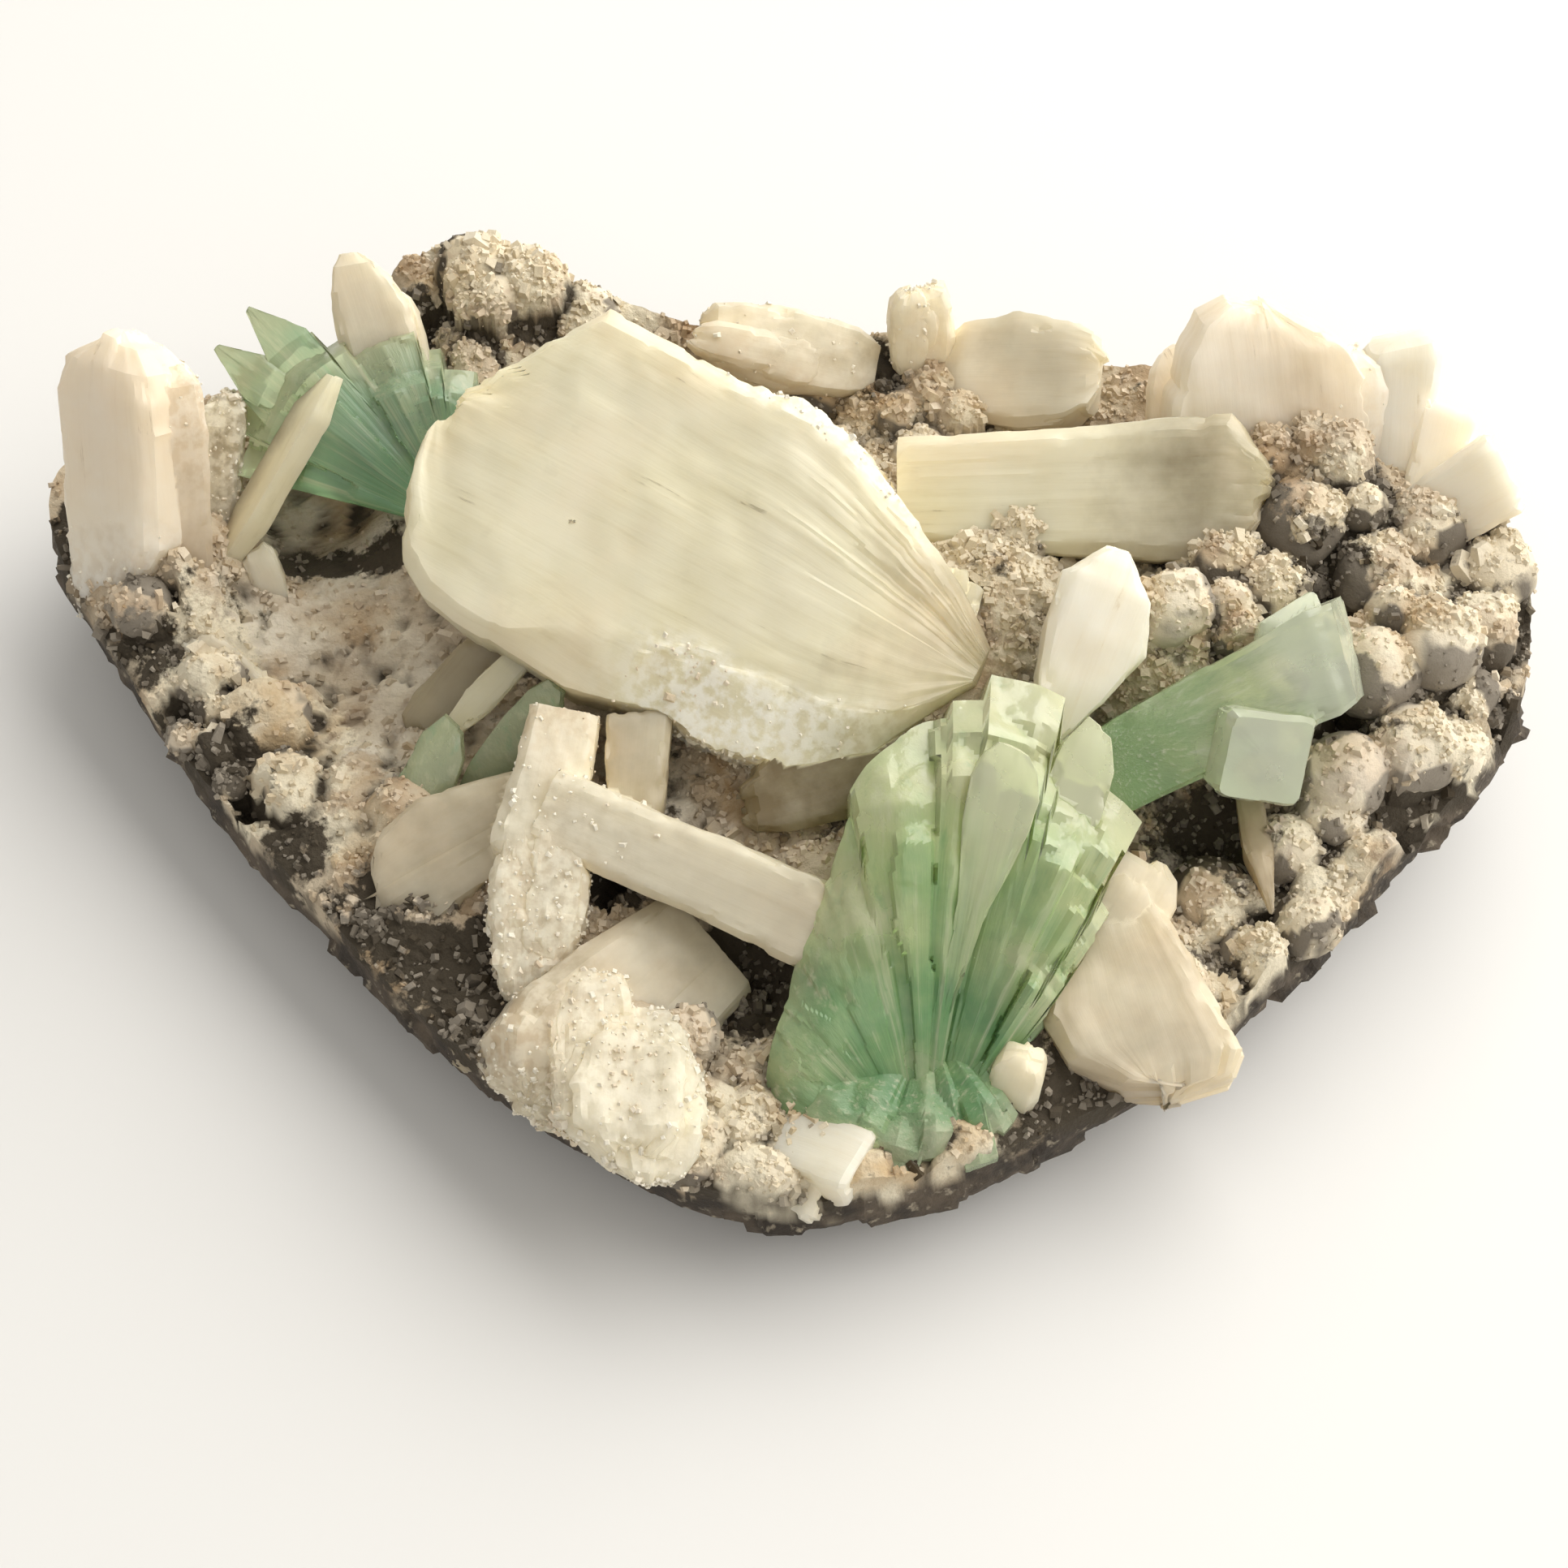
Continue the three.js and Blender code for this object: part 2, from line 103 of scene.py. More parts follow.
# ---------------------------------------------------------------- the slab
# A flake of dark basalt, broken off the wall of a cavity. Its back and edges are rough
# fractured rock with one flat face to rest on, and its display side swells and hollows.
GROUND_LEVEL = 15  # height of the display side where nothing swells or hollows it, in millimetres
FOOT_SHARE = 0.52  # size of the resting face against the widest line
CREST_RISE = 4.5  # how far the crest of the wall stands above the widest line
CREST_SHARE = 0.985  # size of the crest against the widest line
CREST_BLEND = 0.17  # share of the reach over which the crest turns into the display side
WIDEST = 0.2  # share of the way down the wall where it is widest
MEAN_REACH = 60  # from the middle to the widest line, on average
RIM = np.array([  # the widest line: x, y and height
    [70, 8, 14], [68.5, 18, 17], [61, 32, 17], [50, 41, 16], [35, 41.5, 14], [19, 44.5, 13],
    [0, 45.5, 13], [-15, 48, 16], [-34, 53.5, 18], [-45, 45, 12], [-62, 40, 9], [-71, 31, 11],
    [-70, 20, 11], [-58, 1, 8], [-47, -13, 8], [-29, -33, 8], [-15, -43, 7], [-2, -48, 7],
    [14, -45, 7], [33, -35, 7], [54, -16, 9], [66, -3, 12]])
RELIEF = np.array([  # swells and hollows: x, y, rise and spread
    [-41, 10, -5, 14], [-47, 28, -5, 8], [-29, 47, 10, 10], [-63, 17, 2, 8], [-37, 46, -4, 5],
    [12, 4, 5, 14], [20, 12, 8, 8], [38, 7, 9, 9], [55, 2, 8, 12], [50, 20, 10, 10],
    [62, 9, 3, 8], [52, -12, 3, 8], [50, 10, -9, 3.5], [49, -3, -8, 4], [38, -13, -6, 5.5],
    [-3.5, -26, -6, 4.5], [14, 38, 3, 9], [4, -42, -2, 12], [-28, -26, -3, 6]])
KNOBS = np.array([  # round knobs of the crust: x, y and radius
    [48, 15, 3.4], [54, 11, 3.6], [59, 4, 4.2], [53, 1, 3.4], [64, 7, 3.8], [66, 13, 3.2], [59, 16, 3.6],
    [45, 22, 3.2], [51, 22, 3.8], [56, -6, 4.2], [50, -9, 3.4], [60, -5, 3.2], [52, -15, 3.2],
    [45, -14, 3.4], [38, -19, 3.6], [42, -24, 3], [34, -27, 2.8], [46, -20, 2.6],
    [40, 11, 3.2], [45, 8, 3.4], [35, 5, 2.8], [22, 15, 3],
    [-48, 2, 4], [-54, 6, 3], [-45, -6, 3.2], [-60, 12, 2.6], [-34, -10, 2.8],
    [-30, 48, 3.8], [-25, 47, 3.4], [-36, 49, 3.4], [-20, 45, 2.8],
    [-7, -43, 2.6], [-3, -45, 2.4], [7, -45, 2.6], [3, 39, 2.8]])
COLLARS = np.array([  # crust that climbs the feet of the large crystals: x, y, rise and spread
    [-65, 13, 7.5, 4.5], [-60, 15, 5, 5], [-57, 15, 4, 4], [-55, 22, 3, 4], [-37, 31, 4, 5],
    [-44, 33, 3.2, 5], [9, 41, 2, 5], [16, 40, 3, 6], [29, 38, 2, 5], [46, 24, 3, 7], [58, 23, 3, 4],
    [58, 17, 2, 4], [26, -8, 3, 4], [-19, -12, 3, 5], [-24, -15, 2, 4], [27, -17, 3, 4], [33, 3, 4, 5],
    [24, -25, 2, 4], [12, 20, 3, 7], [13, -3, 3, 6], [28, -10, 2, 5], [-13, -33, 3, 4]])
HOLES = np.array([  # narrow pits, which the painted pit shade turns black: x, y and radius
    [-64.5, 23, 2.4], [-59.5, 13, 2.6], [-55.8, 2.6, 2.2], [-48, -7.5, 2.2], [64, -1.5, 2.4],
    [57.5, -14, 2.4], [51.5, 8.5, 2.6], [49.5, -3.5, 2.8], [35, -15.5, 2.8], [61, 7, 1.8],
    [-15.5, -17, 2.6], [42, -21, 2], [18.5, -30, 2.2]])
LUMPY = [  # the parts with the roughest crust: x, y and reach
    [56, 2, 22], [50, 18, 16], [40, -20, 14], [-55, 2, 8], [0, -44, 14], [-28, 46, 12], [10, 38, 12]]
TOP_CELLS = 225  # cells along each side of the display side's grid
WALL_ROWS = 24  # rings of the wall, from the crest down to the resting face


def chance(i, j, seed):
    """A repeatable number from 0 to 1 for each whole-number cell: the fraction of a large sine."""
    wave = np.sin(i * 127.1 + j * 311.7 + seed * 74.7) * 43758.5453
    return wave - np.floor(wave)


def swell(x, y, size, seed):
    """Smooth noise from -1 to 1: the chances of the four cell corners, blended by eased distance."""
    u, v = x / size, y / size
    i, j = np.floor(u), np.floor(v)
    fu, fv = u - i, v - j
    fu, fv = fu * fu * (3 - 2 * fu), fv * fv * (3 - 2 * fv)
    low = chance(i, j, seed) * (1 - fu) + chance(i + 1, j, seed) * fu
    high = chance(i, j + 1, seed) * (1 - fu) + chance(i + 1, j + 1, seed) * fu
    return 2 * (low * (1 - fv) + high * fv) - 1


def nearest_seed(x, y, size, seed):
    """For one random point per cell: squared distance to the nearest, its cell, and the way to it."""
    u, v = x / size, y / size
    i, j = np.floor(u), np.floor(v)
    best = np.full(np.broadcast(u, v).shape, 9.0)
    cell_i, cell_j, du, dv = (np.zeros_like(best) for _ in range(4))
    for di in (-1, 0, 1):
        for dj in (-1, 0, 1):
            a, b = i + di, j + dj
            away_u, away_v = a + chance(a, b, seed) - u, b + chance(a, b, seed + 1) - v
            away = away_u ** 2 + away_v ** 2
            closer = away < best
            best = np.where(closer, away, best)
            cell_i, cell_j = np.where(closer, a, cell_i), np.where(closer, b, cell_j)
            du, dv = np.where(closer, away_u, du), np.where(closer, away_v, dv)
    return best, cell_i, cell_j, du, dv


def pebbles(x, y, size, seed):
    """Rounded bumps from 0 to 1: one less the squared distance to the nearest random point."""
    return np.clip(1 - nearest_seed(x, y, size, seed)[0], 0, 1)


def broken(x, y, size, seed):
    """Fractured rock from -1 to 1: each random point's own flat facet, at a random level and tilt."""
    _, i, j, du, dv = nearest_seed(x, y, size, seed)
    level = chance(i, j, seed + 5) - 0.5
    return level + 1.3 * (chance(i, j, seed + 6) - 0.5) * du + 1.3 * (chance(i, j, seed + 7) - 0.5) * dv


def rim_by_angle(angle):
    """Reach and height of the rim at an angle: a closed Catmull-Rom curve through RIM, read by its angle."""
    t = np.linspace(0, 1, 40, endpoint=False)[:, None]
    before, start, end, after = (np.roll(RIM, shift, axis=0)[:, None, :] for shift in (1, 0, -1, -2))
    curve = 0.5 * (2 * start + (end - before) * t + (2 * before - 5 * start + 4 * end - after) * t ** 2
                   + (3 * start - before - 3 * end + after) * t ** 3)
    x, y, z = curve.reshape(-1, 3).T
    turn = np.arctan2(y, x)
    order = np.argsort(turn)
    reach = np.hypot(x, y)
    return (np.interp(angle, turn[order], reach[order], period=2 * np.pi),
            np.interp(angle, turn[order], z[order], period=2 * np.pi))


def patches(x, y, places):
    """How far points lie in any of the round patches [x, y, reach], from 0 to 1, fading as a bell."""
    total = np.zeros_like(x)
    for cx, cy, reach in places:
        total = np.maximum(total, np.exp(-(((x - cx) ** 2 + (y - cy) ** 2) / reach ** 2) ** 1.5))
    return total


def bed(x, y):
    """Height of the rock: the crest blends into the sum of the bells of RELIEF and the highest of COLLARS."""
    reach, rim_height = rim_by_angle(np.arctan2(y, x))
    inward = np.clip((CREST_SHARE - np.hypot(x, y) / reach) / CREST_BLEND, 0, 1)
    relief = np.full_like(x, GROUND_LEVEL, dtype=float)
    for cx, cy, rise, spread in RELIEF:
        relief += rise * np.exp(-((x - cx) ** 2 + (y - cy) ** 2) / spread ** 2)
    collar = np.zeros_like(x, dtype=float)
    for cx, cy, rise, spread in COLLARS:
        collar = np.maximum(collar, rise * np.exp(-((x - cx) ** 2 + (y - cy) ** 2) / spread ** 2))
    relief += collar
    return (rim_height + CREST_RISE) * (1 - inward) + relief * inward


def more_knobs(count, seed):
    """Small extra knobs, x, y and radius, scattered over the lumpy parts."""
    rng = np.random.default_rng(seed)
    tries = 60 * count
    x, y = rng.uniform(-70, 70, tries), rng.uniform(-48, 53, tries)
    keep = rng.uniform(0.1, 1, len(x)) < patches(x, y, LUMPY)
    return np.stack([x[keep], y[keep], rng.uniform(1.3, 2.7, keep.sum())], axis=-1)[:count]


ALL_KNOBS = np.vstack([KNOBS, more_knobs(count=110, seed=19)])
KNOB_LEVELS = bed(ALL_KNOBS[:, 0], ALL_KNOBS[:, 1]) + 0.05 * ALL_KNOBS[:, 2]
ALL_KNOBS = np.column_stack([ALL_KNOBS, KNOB_LEVELS])  # x, y, radius and height of the middle


def drift(x, y):
    """Sideways shifts of up to 0.9 mm, which leave no knob or pit a true circle."""
    return 0.9 * swell(x, y, 3.2, 13), 0.9 * swell(x, y, 3.2, 14)


def ground(x, y):
    """Height of the display side: bed, swells, facets and pebbles, or a knob's dome where that is higher."""
    height = bed(x, y)
    lumpy = patches(x, y, LUMPY)
    drift_x, drift_y = drift(x, y)
    bent_x, bent_y = x + drift_x, y + drift_y
    skin = 0.9 * swell(x, y, 9, 3) + 0.5 * swell(x, y, 4, 5)
    skin += (0.3 + 1.4 * lumpy) * (pebbles(bent_x, bent_y, 5, 7) - 0.7)
    skin += 0.6 * broken(bent_x, bent_y, 3.8, 19)
    fine = (0.6 + 0.1 * lumpy) * (pebbles(x, y, 1.9, 11) - 0.6) + 0.2 * (pebbles(x, y, 0.95, 17) - 0.6)
    height = height + skin
    for cx, cy, radius, centre in ALL_KNOBS:
        near = np.clip(1 - ((bent_x - cx) ** 2 + (bent_y - cy) ** 2) / radius ** 2, 0, 1)
        height = np.maximum(height, np.where(near > 0, centre + radius * near ** 0.45, 0))
    torn_x, torn_y = bent_x + 1.3 * swell(x, y, 1.9, 15), bent_y + 1.3 * swell(x, y, 1.9, 16)
    for cx, cy, radius in HOLES:
        inside = np.clip(1 - ((torn_x - cx) ** 2 + (torn_y - cy) ** 2) / radius ** 2, 0, 1)
        height = height - 1.8 * radius * inside ** 0.6
    return height + fine


def pit_shade(x, y):
    """How deep points lie below the ground 2 mm round them, from 0 to 1 for 1.6 mm or more; the crust paints
    shade in its pits by it.
    """
    turns = np.arange(6) * np.pi / 3
    around = sum(ground(x + 2 * np.cos(turn), y + 2 * np.sin(turn)) for turn in turns) / 6
    return np.clip((around - ground(x, y)) / 1.6, 0, 1)


def put_mesh(name, points, faces, sharp_angle=0):
    """A new object of points in millimetres and faces, smooth where they meet below sharp_angle degrees."""
    mesh = bpy.data.meshes.new(name)
    mesh.vertices.add(len(points))
    mesh.vertices.foreach_set("co", (np.asarray(points) * MM).ravel())
    corners = np.concatenate([block.ravel() for block in faces])
    totals = np.concatenate([np.full(len(block), block.shape[1]) for block in faces])
    mesh.loops.add(len(corners))
    mesh.loops.foreach_set("vertex_index", corners)
    mesh.polygons.add(len(totals))
    mesh.polygons.foreach_set("loop_start", np.concatenate([[0], np.cumsum(totals)[:-1]]))
    mesh.polygons.foreach_set("loop_total", totals)
    mesh.polygons.foreach_set("use_smooth", np.full(len(totals), sharp_angle > 0))
    mesh.update(calc_edges=True)
    mesh.validate()
    if sharp_angle:
        mesh.set_sharp_from_angle(angle=math.radians(sharp_angle))
    piece = bpy.data.objects.new(name, mesh)
    bpy.context.collection.objects.link(piece)
    return piece


def put_attribute(piece, name, values):
    """Stores one number, or one vector, for each point of a piece under a name its material reads."""
    kind = "FLOAT" if values.ndim == 1 else "FLOAT_VECTOR"
    field = "value" if values.ndim == 1 else "vector"
    piece.data.attributes.new(name, kind, "POINT").data.foreach_set(field, values.astype(np.float32).ravel())


def slab_shape():
    """Points and faces of the slab.

    The display side is a square grid pressed onto a disc, so that its cells stay of one size, and
    stretched to the rim. The wall and the underside are rings from the crest over the widest line
    to the foot, whose last ring is the edge of the flat resting face. Broken rock is three sizes of
    tilted facets that push the wall in and out, and one size that lifts it. They fade out at the
    crest and at the foot. The third result is where rock is bare: below a ragged line near the crest.
    """
    side = np.linspace(-1, 1, TOP_CELLS + 1)
    a, b = np.meshgrid(side, side, indexing="ij")
    wide = np.abs(a) > np.abs(b)
    radius = np.where(wide, a, b)
    ratio = np.divide(np.where(wide, b, a), radius, out=np.zeros_like(a), where=radius != 0)
    angle = np.where(wide, ratio * np.pi / 4, np.pi / 2 - ratio * np.pi / 4)
    dx, dy = radius * np.cos(angle), radius * np.sin(angle)
    reach, _ = rim_by_angle(np.arctan2(dy, dx))
    x, y = dx * reach * CREST_SHARE, dy * reach * CREST_SHARE
    top = np.stack([x, y, ground(x, y)], axis=-1)
    count = TOP_CELLS + 1
    number = np.arange(count * count).reshape(count, count)
    top_faces = np.stack([number[:-1, :-1], number[1:, :-1], number[1:, 1:], number[:-1, 1:]], axis=-1)
    edge = np.concatenate([number[:-1, 0], number[-1, :-1], number[:0:-1, -1], number[0, :0:-1]])
    crest = top.reshape(-1, 3)[edge]
    turn = np.arctan2(crest[:, 1], crest[:, 0])
    reach, rim_height = rim_by_angle(turn)
    down = np.linspace(0, 1, WALL_ROWS + 1)[1:, None]
    over = np.clip(down / WIDEST, 0, 1)
    under = np.clip((down - WIDEST) / (1 - WIDEST), 0, 1)
    share = CREST_SHARE + (1 - CREST_SHARE) * over - (1 - FOOT_SHARE) * under
    height = np.where(under > 0, rim_height * ((share - FOOT_SHARE) / (1 - FOOT_SHARE)) ** 1.8,
                      crest[:, 2] * (1 - over) + rim_height * over)
    arc = np.cumsum(np.hypot(*(np.roll(crest[:, :2], -1, axis=0) - crest[:, :2]).T))
    depth = 1.7 * (height + 40 * (1 - share))
    fade = np.sin(np.pi * down)
    rough = sum(push * broken(arc, depth, size, seed)
                for push, size, seed in ((3.0, 11, 21), (1.4, 4.8, 25), (0.3, 1.8, 27)))
    share = share + fade * (rough - 0.6) / MEAN_REACH
    height = np.where(down < 1, np.maximum(0.25, height + 0.7 * fade * broken(arc, depth, 6, 31)), 0)
    wall = np.stack([share * reach * np.cos(turn), share * reach * np.sin(turn), height], axis=-1)
    rings = np.vstack([edge, count * count + np.arange(wall[:, :, 0].size).reshape(WALL_ROWS, -1)])
    after = np.roll(rings, -1, axis=1)
    wall_faces = np.stack([rings[:-1], rings[1:], after[1:], after[:-1]], axis=-1)
    points = np.vstack([top.reshape(-1, 3), wall.reshape(-1, 3)])
    bare = np.clip((down - 0.05 - 0.06 * swell(arc + 0 * down, depth, 2.5, 33)) / 0.04, 0, 1)
    bare = np.concatenate([np.zeros(count * count), bare.ravel()])
    return points, [top_faces.reshape(-1, 4), wall_faces.reshape(-1, 4), rings[-1][None, ::-1]], bare


CRUST_PATCHES = {  # x, y and reach
    "cream": [[34, 2, 6], [-48, 2, 8], [-55, 7, 6], [-45, -6, 6], [-39, -12, 4], [-28, 49, 9], [-18, 46, 6],
              [0, -45, 10], [42, -24, 7], [30, 8, 12], [44, 9, 7], [20, 14, 9], [66, 12, 7], [12, -44, 8],
              [36, -28, 5], [4, 26, 14], [22, 36, 8], [57, 2, 8], [61, -6, 6], [52, 14, 6], [48, -16, 5]],
    "grey": [[-38, 8, 13], [-46, 12, 8], [-42, 26, 10], [-10, -12, 8], [47, -14, 6], [54, -14, 6]],
    # dark patches: partly dark rock, partly painted shade in crevices and gaps between lumps and crystals;
    # the three at y 22, x -47 to -38, are a painted shadow under the left green spray
    "dark": [[50, 10, 4], [49, -3, 4.5], [38, -13, 6], [-3.5, -26, 7], [-37, 43, 4], [24, -38, 8],
             [-27, -28, 9], [-34, -20, 7], [44, 16, 4], [2, 43, 5], [10, 40, 4], [-66, 22, 5], [-60, 8, 4],
             [-52, -3, 3.5], [-56, 2, 3], [-44, -13, 4], [56, -22, 4], [-12, -14, 5], [67, -3, 4],
             [-20, 10, 6], [-15, -17, 4], [-43, 22.5, 2.6], [-38.5, 22, 2.6], [-47, 22.5, 2.3],
             [18, -28, 6], [10, -40, 5], [-24, -8, 4]],
}


def put_crust_masks(piece, points):
    """Marks the cream, grey and dark parts of the crust, whose patches swells break up, and its pits. The
    dark parts are partly dark rock and partly painted shade.
    """
    x, y = points[:, 0], points[:, 1]
    ragged = 0.3 * swell(x, y, 5, 41) + 0.2 * swell(x, y, 1.6, 43)
    for name, places in CRUST_PATCHES.items():
        put_attribute(piece, name, np.clip(patches(x, y, places) + ragged, 0, 1))
    put_attribute(piece, "pit_shade", pit_shade(x, y))


slab_points, slab_faces, bare = slab_shape()
slab = put_mesh("basalt_rock", slab_points, slab_faces, 25)
put_crust_masks(slab, slab_points)
put_attribute(slab, "bare", bare)


def mix_colors(tree, share, first, second, blend="MIX"):
    """A Mix node for colours. Each of its three inputs is a socket, or a plain value."""
    made = tree.nodes.new("ShaderNodeMix")
    made.data_type = "RGBA"
    made.blend_type = blend
    for socket, value in ((made.inputs[0], share), (made.inputs[6], first), (made.inputs[7], second)):
        if isinstance(value, bpy.types.NodeSocket):
            tree.links.new(value, socket)
        else:
            socket.default_value = value if isinstance(value, (int, float)) else (*value, 1)
    return made.outputs[2]


def attribute(tree, name, output="Fac"):
    """The named attribute's output."""
    made = tree.nodes.new("ShaderNodeAttribute")
    made.attribute_name = name
    return made.outputs[output]


def noise(tree, vector, scale, detail=4.0, roughness=0.55):
    """A noise texture's value from 0 to 1 on a vector output."""
    made = tree.nodes.new("ShaderNodeTexNoise")
    made.inputs["Scale"].default_value = scale
    made.inputs["Detail"].default_value = detail
    made.inputs["Roughness"].default_value = roughness
    tree.links.new(vector, made.inputs["Vector"])
    return made.outputs["Fac"]


def spread(tree, value, low, high, to_low=0.0, to_high=1.0):
    """A value stretched so that low and high become to_low and to_high, and cut off there."""
    made = tree.nodes.new("ShaderNodeMapRange")
    for name, number in (("From Min", low), ("From Max", high), ("To Min", to_low), ("To Max", to_high)):
        made.inputs[name].default_value = number
    tree.links.new(value, made.inputs["Value"])
    return made.outputs["Result"]


def calculate(tree, operation, first, second):
    """A Math node's result. Each input is a socket, or a plain number."""
    made = tree.nodes.new("ShaderNodeMath")
    made.operation = operation
    for socket, value in zip(made.inputs, (first, second)):
        if isinstance(value, bpy.types.NodeSocket):
            tree.links.new(value, socket)
        else:
            socket.default_value = value
    return made.outputs[0]


def bump(tree, height, strength, distance):
    """A Bump node's normal from a height; distance is in metres."""
    made = tree.nodes.new("ShaderNodeBump")
    made.inputs["Strength"].default_value = strength
    made.inputs["Distance"].default_value = distance
    tree.links.new(height, made.inputs["Height"])
    return made.outputs["Normal"]


def object_place(tree):
    """Object coordinates, in metres."""
    return tree.nodes.new("ShaderNodeTexCoord").outputs["Object"]


def new_group(name, inputs, outputs):
    """A shader node group. An input is given as name, kind and value, and an output as name and kind."""
    tree = bpy.data.node_groups.new(name, "ShaderNodeTree")
    for label, kind, value in inputs:
        socket = tree.interface.new_socket(label, in_out="INPUT", socket_type=kind)
        socket.default_value = (*value, 1) if kind == COLOR else value
    for label, kind in outputs:
        tree.interface.new_socket(label, in_out="OUTPUT", socket_type=kind)
    return tree, tree.nodes.new("NodeGroupInput").outputs, tree.nodes.new("NodeGroupOutput").inputs


def use_group(tree, group, **values):
    """Places a node group in a material with this material's own values. Underscores stand for spaces."""
    made = tree.nodes.new("ShaderNodeGroup")
    made.node_tree = group
    for name, value in values.items():
        socket = made.inputs[name.replace("_", " ")]
        socket.default_value = (*value, 1) if socket.type == "RGBA" else value
    return made.outputs


def ragged_mask(tree, name, crumbs):
    """A mask that is 1 where the named attribute and a share of the crumbly noise pass one half together."""
    return spread(tree, calculate(tree, "ADD", attribute(tree, name), crumbs), 0.38, 0.62)


COLOR, VALUE, VECTOR = "NodeSocketColor", "NodeSocketFloat", "NodeSocketVector"
TAN_CRUST = (0.56, 0.46, 0.33)
CREAM_CRUST = (0.78, 0.7, 0.53)
GREY_CRUST = (0.72, 0.65, 0.53)
# near black: dark rock, and painted shade in the crust's crevices and pits
DARK_CRUST_AND_SHADE = (0.06, 0.046, 0.028)
BASALT = (0.045, 0.035, 0.026)

crust_group, given, made = new_group(
    "crust tones", [("Tan", COLOR, TAN_CRUST), ("Cream", COLOR, CREAM_CRUST), ("Grey", COLOR, GREY_CRUST),
                    ("Dark", COLOR, DARK_CRUST_AND_SHADE)], [("Color", COLOR)])
tree = crust_group
place = object_place(tree)
crumbs = spread(tree, noise(tree, place, 420, 5, 0.65), 0.3, 0.7, -0.4, 0.4)
mottle = spread(tree, noise(tree, place, 260, 4), 0.4, 0.68)
stains = spread(tree, noise(tree, place, 120, 5), 0.5, 0.68)
shadowy = mix_colors(tree, 1.0, given["Grey"], (0.6, 0.53, 0.46), "MULTIPLY")
grey = mix_colors(tree, spread(tree, noise(tree, place, 90, 6), 0.42, 0.62), given["Grey"], shadowy)
color = mix_colors(tree, ragged_mask(tree, "grey", crumbs), given["Tan"], grey)
color = mix_colors(tree, ragged_mask(tree, "cream", crumbs), color, given["Cream"])
color = mix_colors(tree, mottle, color, mix_colors(tree, 0.4, color, (0.8, 0.72, 0.55)))
color = mix_colors(tree, stains, color, mix_colors(tree, 1.0, color, (0.75, 0.62, 0.48), "MULTIPLY"))
# dark patches: partly dark rock, partly painted shade
color = mix_colors(tree, ragged_mask(tree, "dark", crumbs), color, given["Dark"])
# painted shade: the crust turns dark in its pits, where shade falls
color = mix_colors(tree, spread(tree, attribute(tree, "pit_shade"), 0.08, 0.55), color, given["Dark"])
tree.links.new(color, made["Color"])

rock_material, rock_shader = plain_material("basalt", BASALT, 0.85)
tree = rock_material.node_tree
place = object_place(tree)
fracture = mix_colors(tree, spread(tree, noise(tree, place, 260), 0.4, 0.65), BASALT, (0.13, 0.1, 0.07))
fracture = mix_colors(tree, spread(tree, noise(tree, place, 900), 0.6, 0.72), fracture, (0.35, 0.3, 0.22))
tree.links.new(mix_colors(tree, attribute(tree, "bare"), use_group(tree, crust_group)["Color"], fracture),
               rock_shader.inputs["Base Color"])
rough = calculate(tree, "ADD", noise(tree, place, 420, 6, 0.7), noise(tree, place, 1500, 6))
tree.links.new(bump(tree, rough, 0.7, 0.0006), rock_shader.inputs["Normal"])
slab.data.materials.append(rock_material)
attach(slab, "root")
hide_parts("basalt_slab")


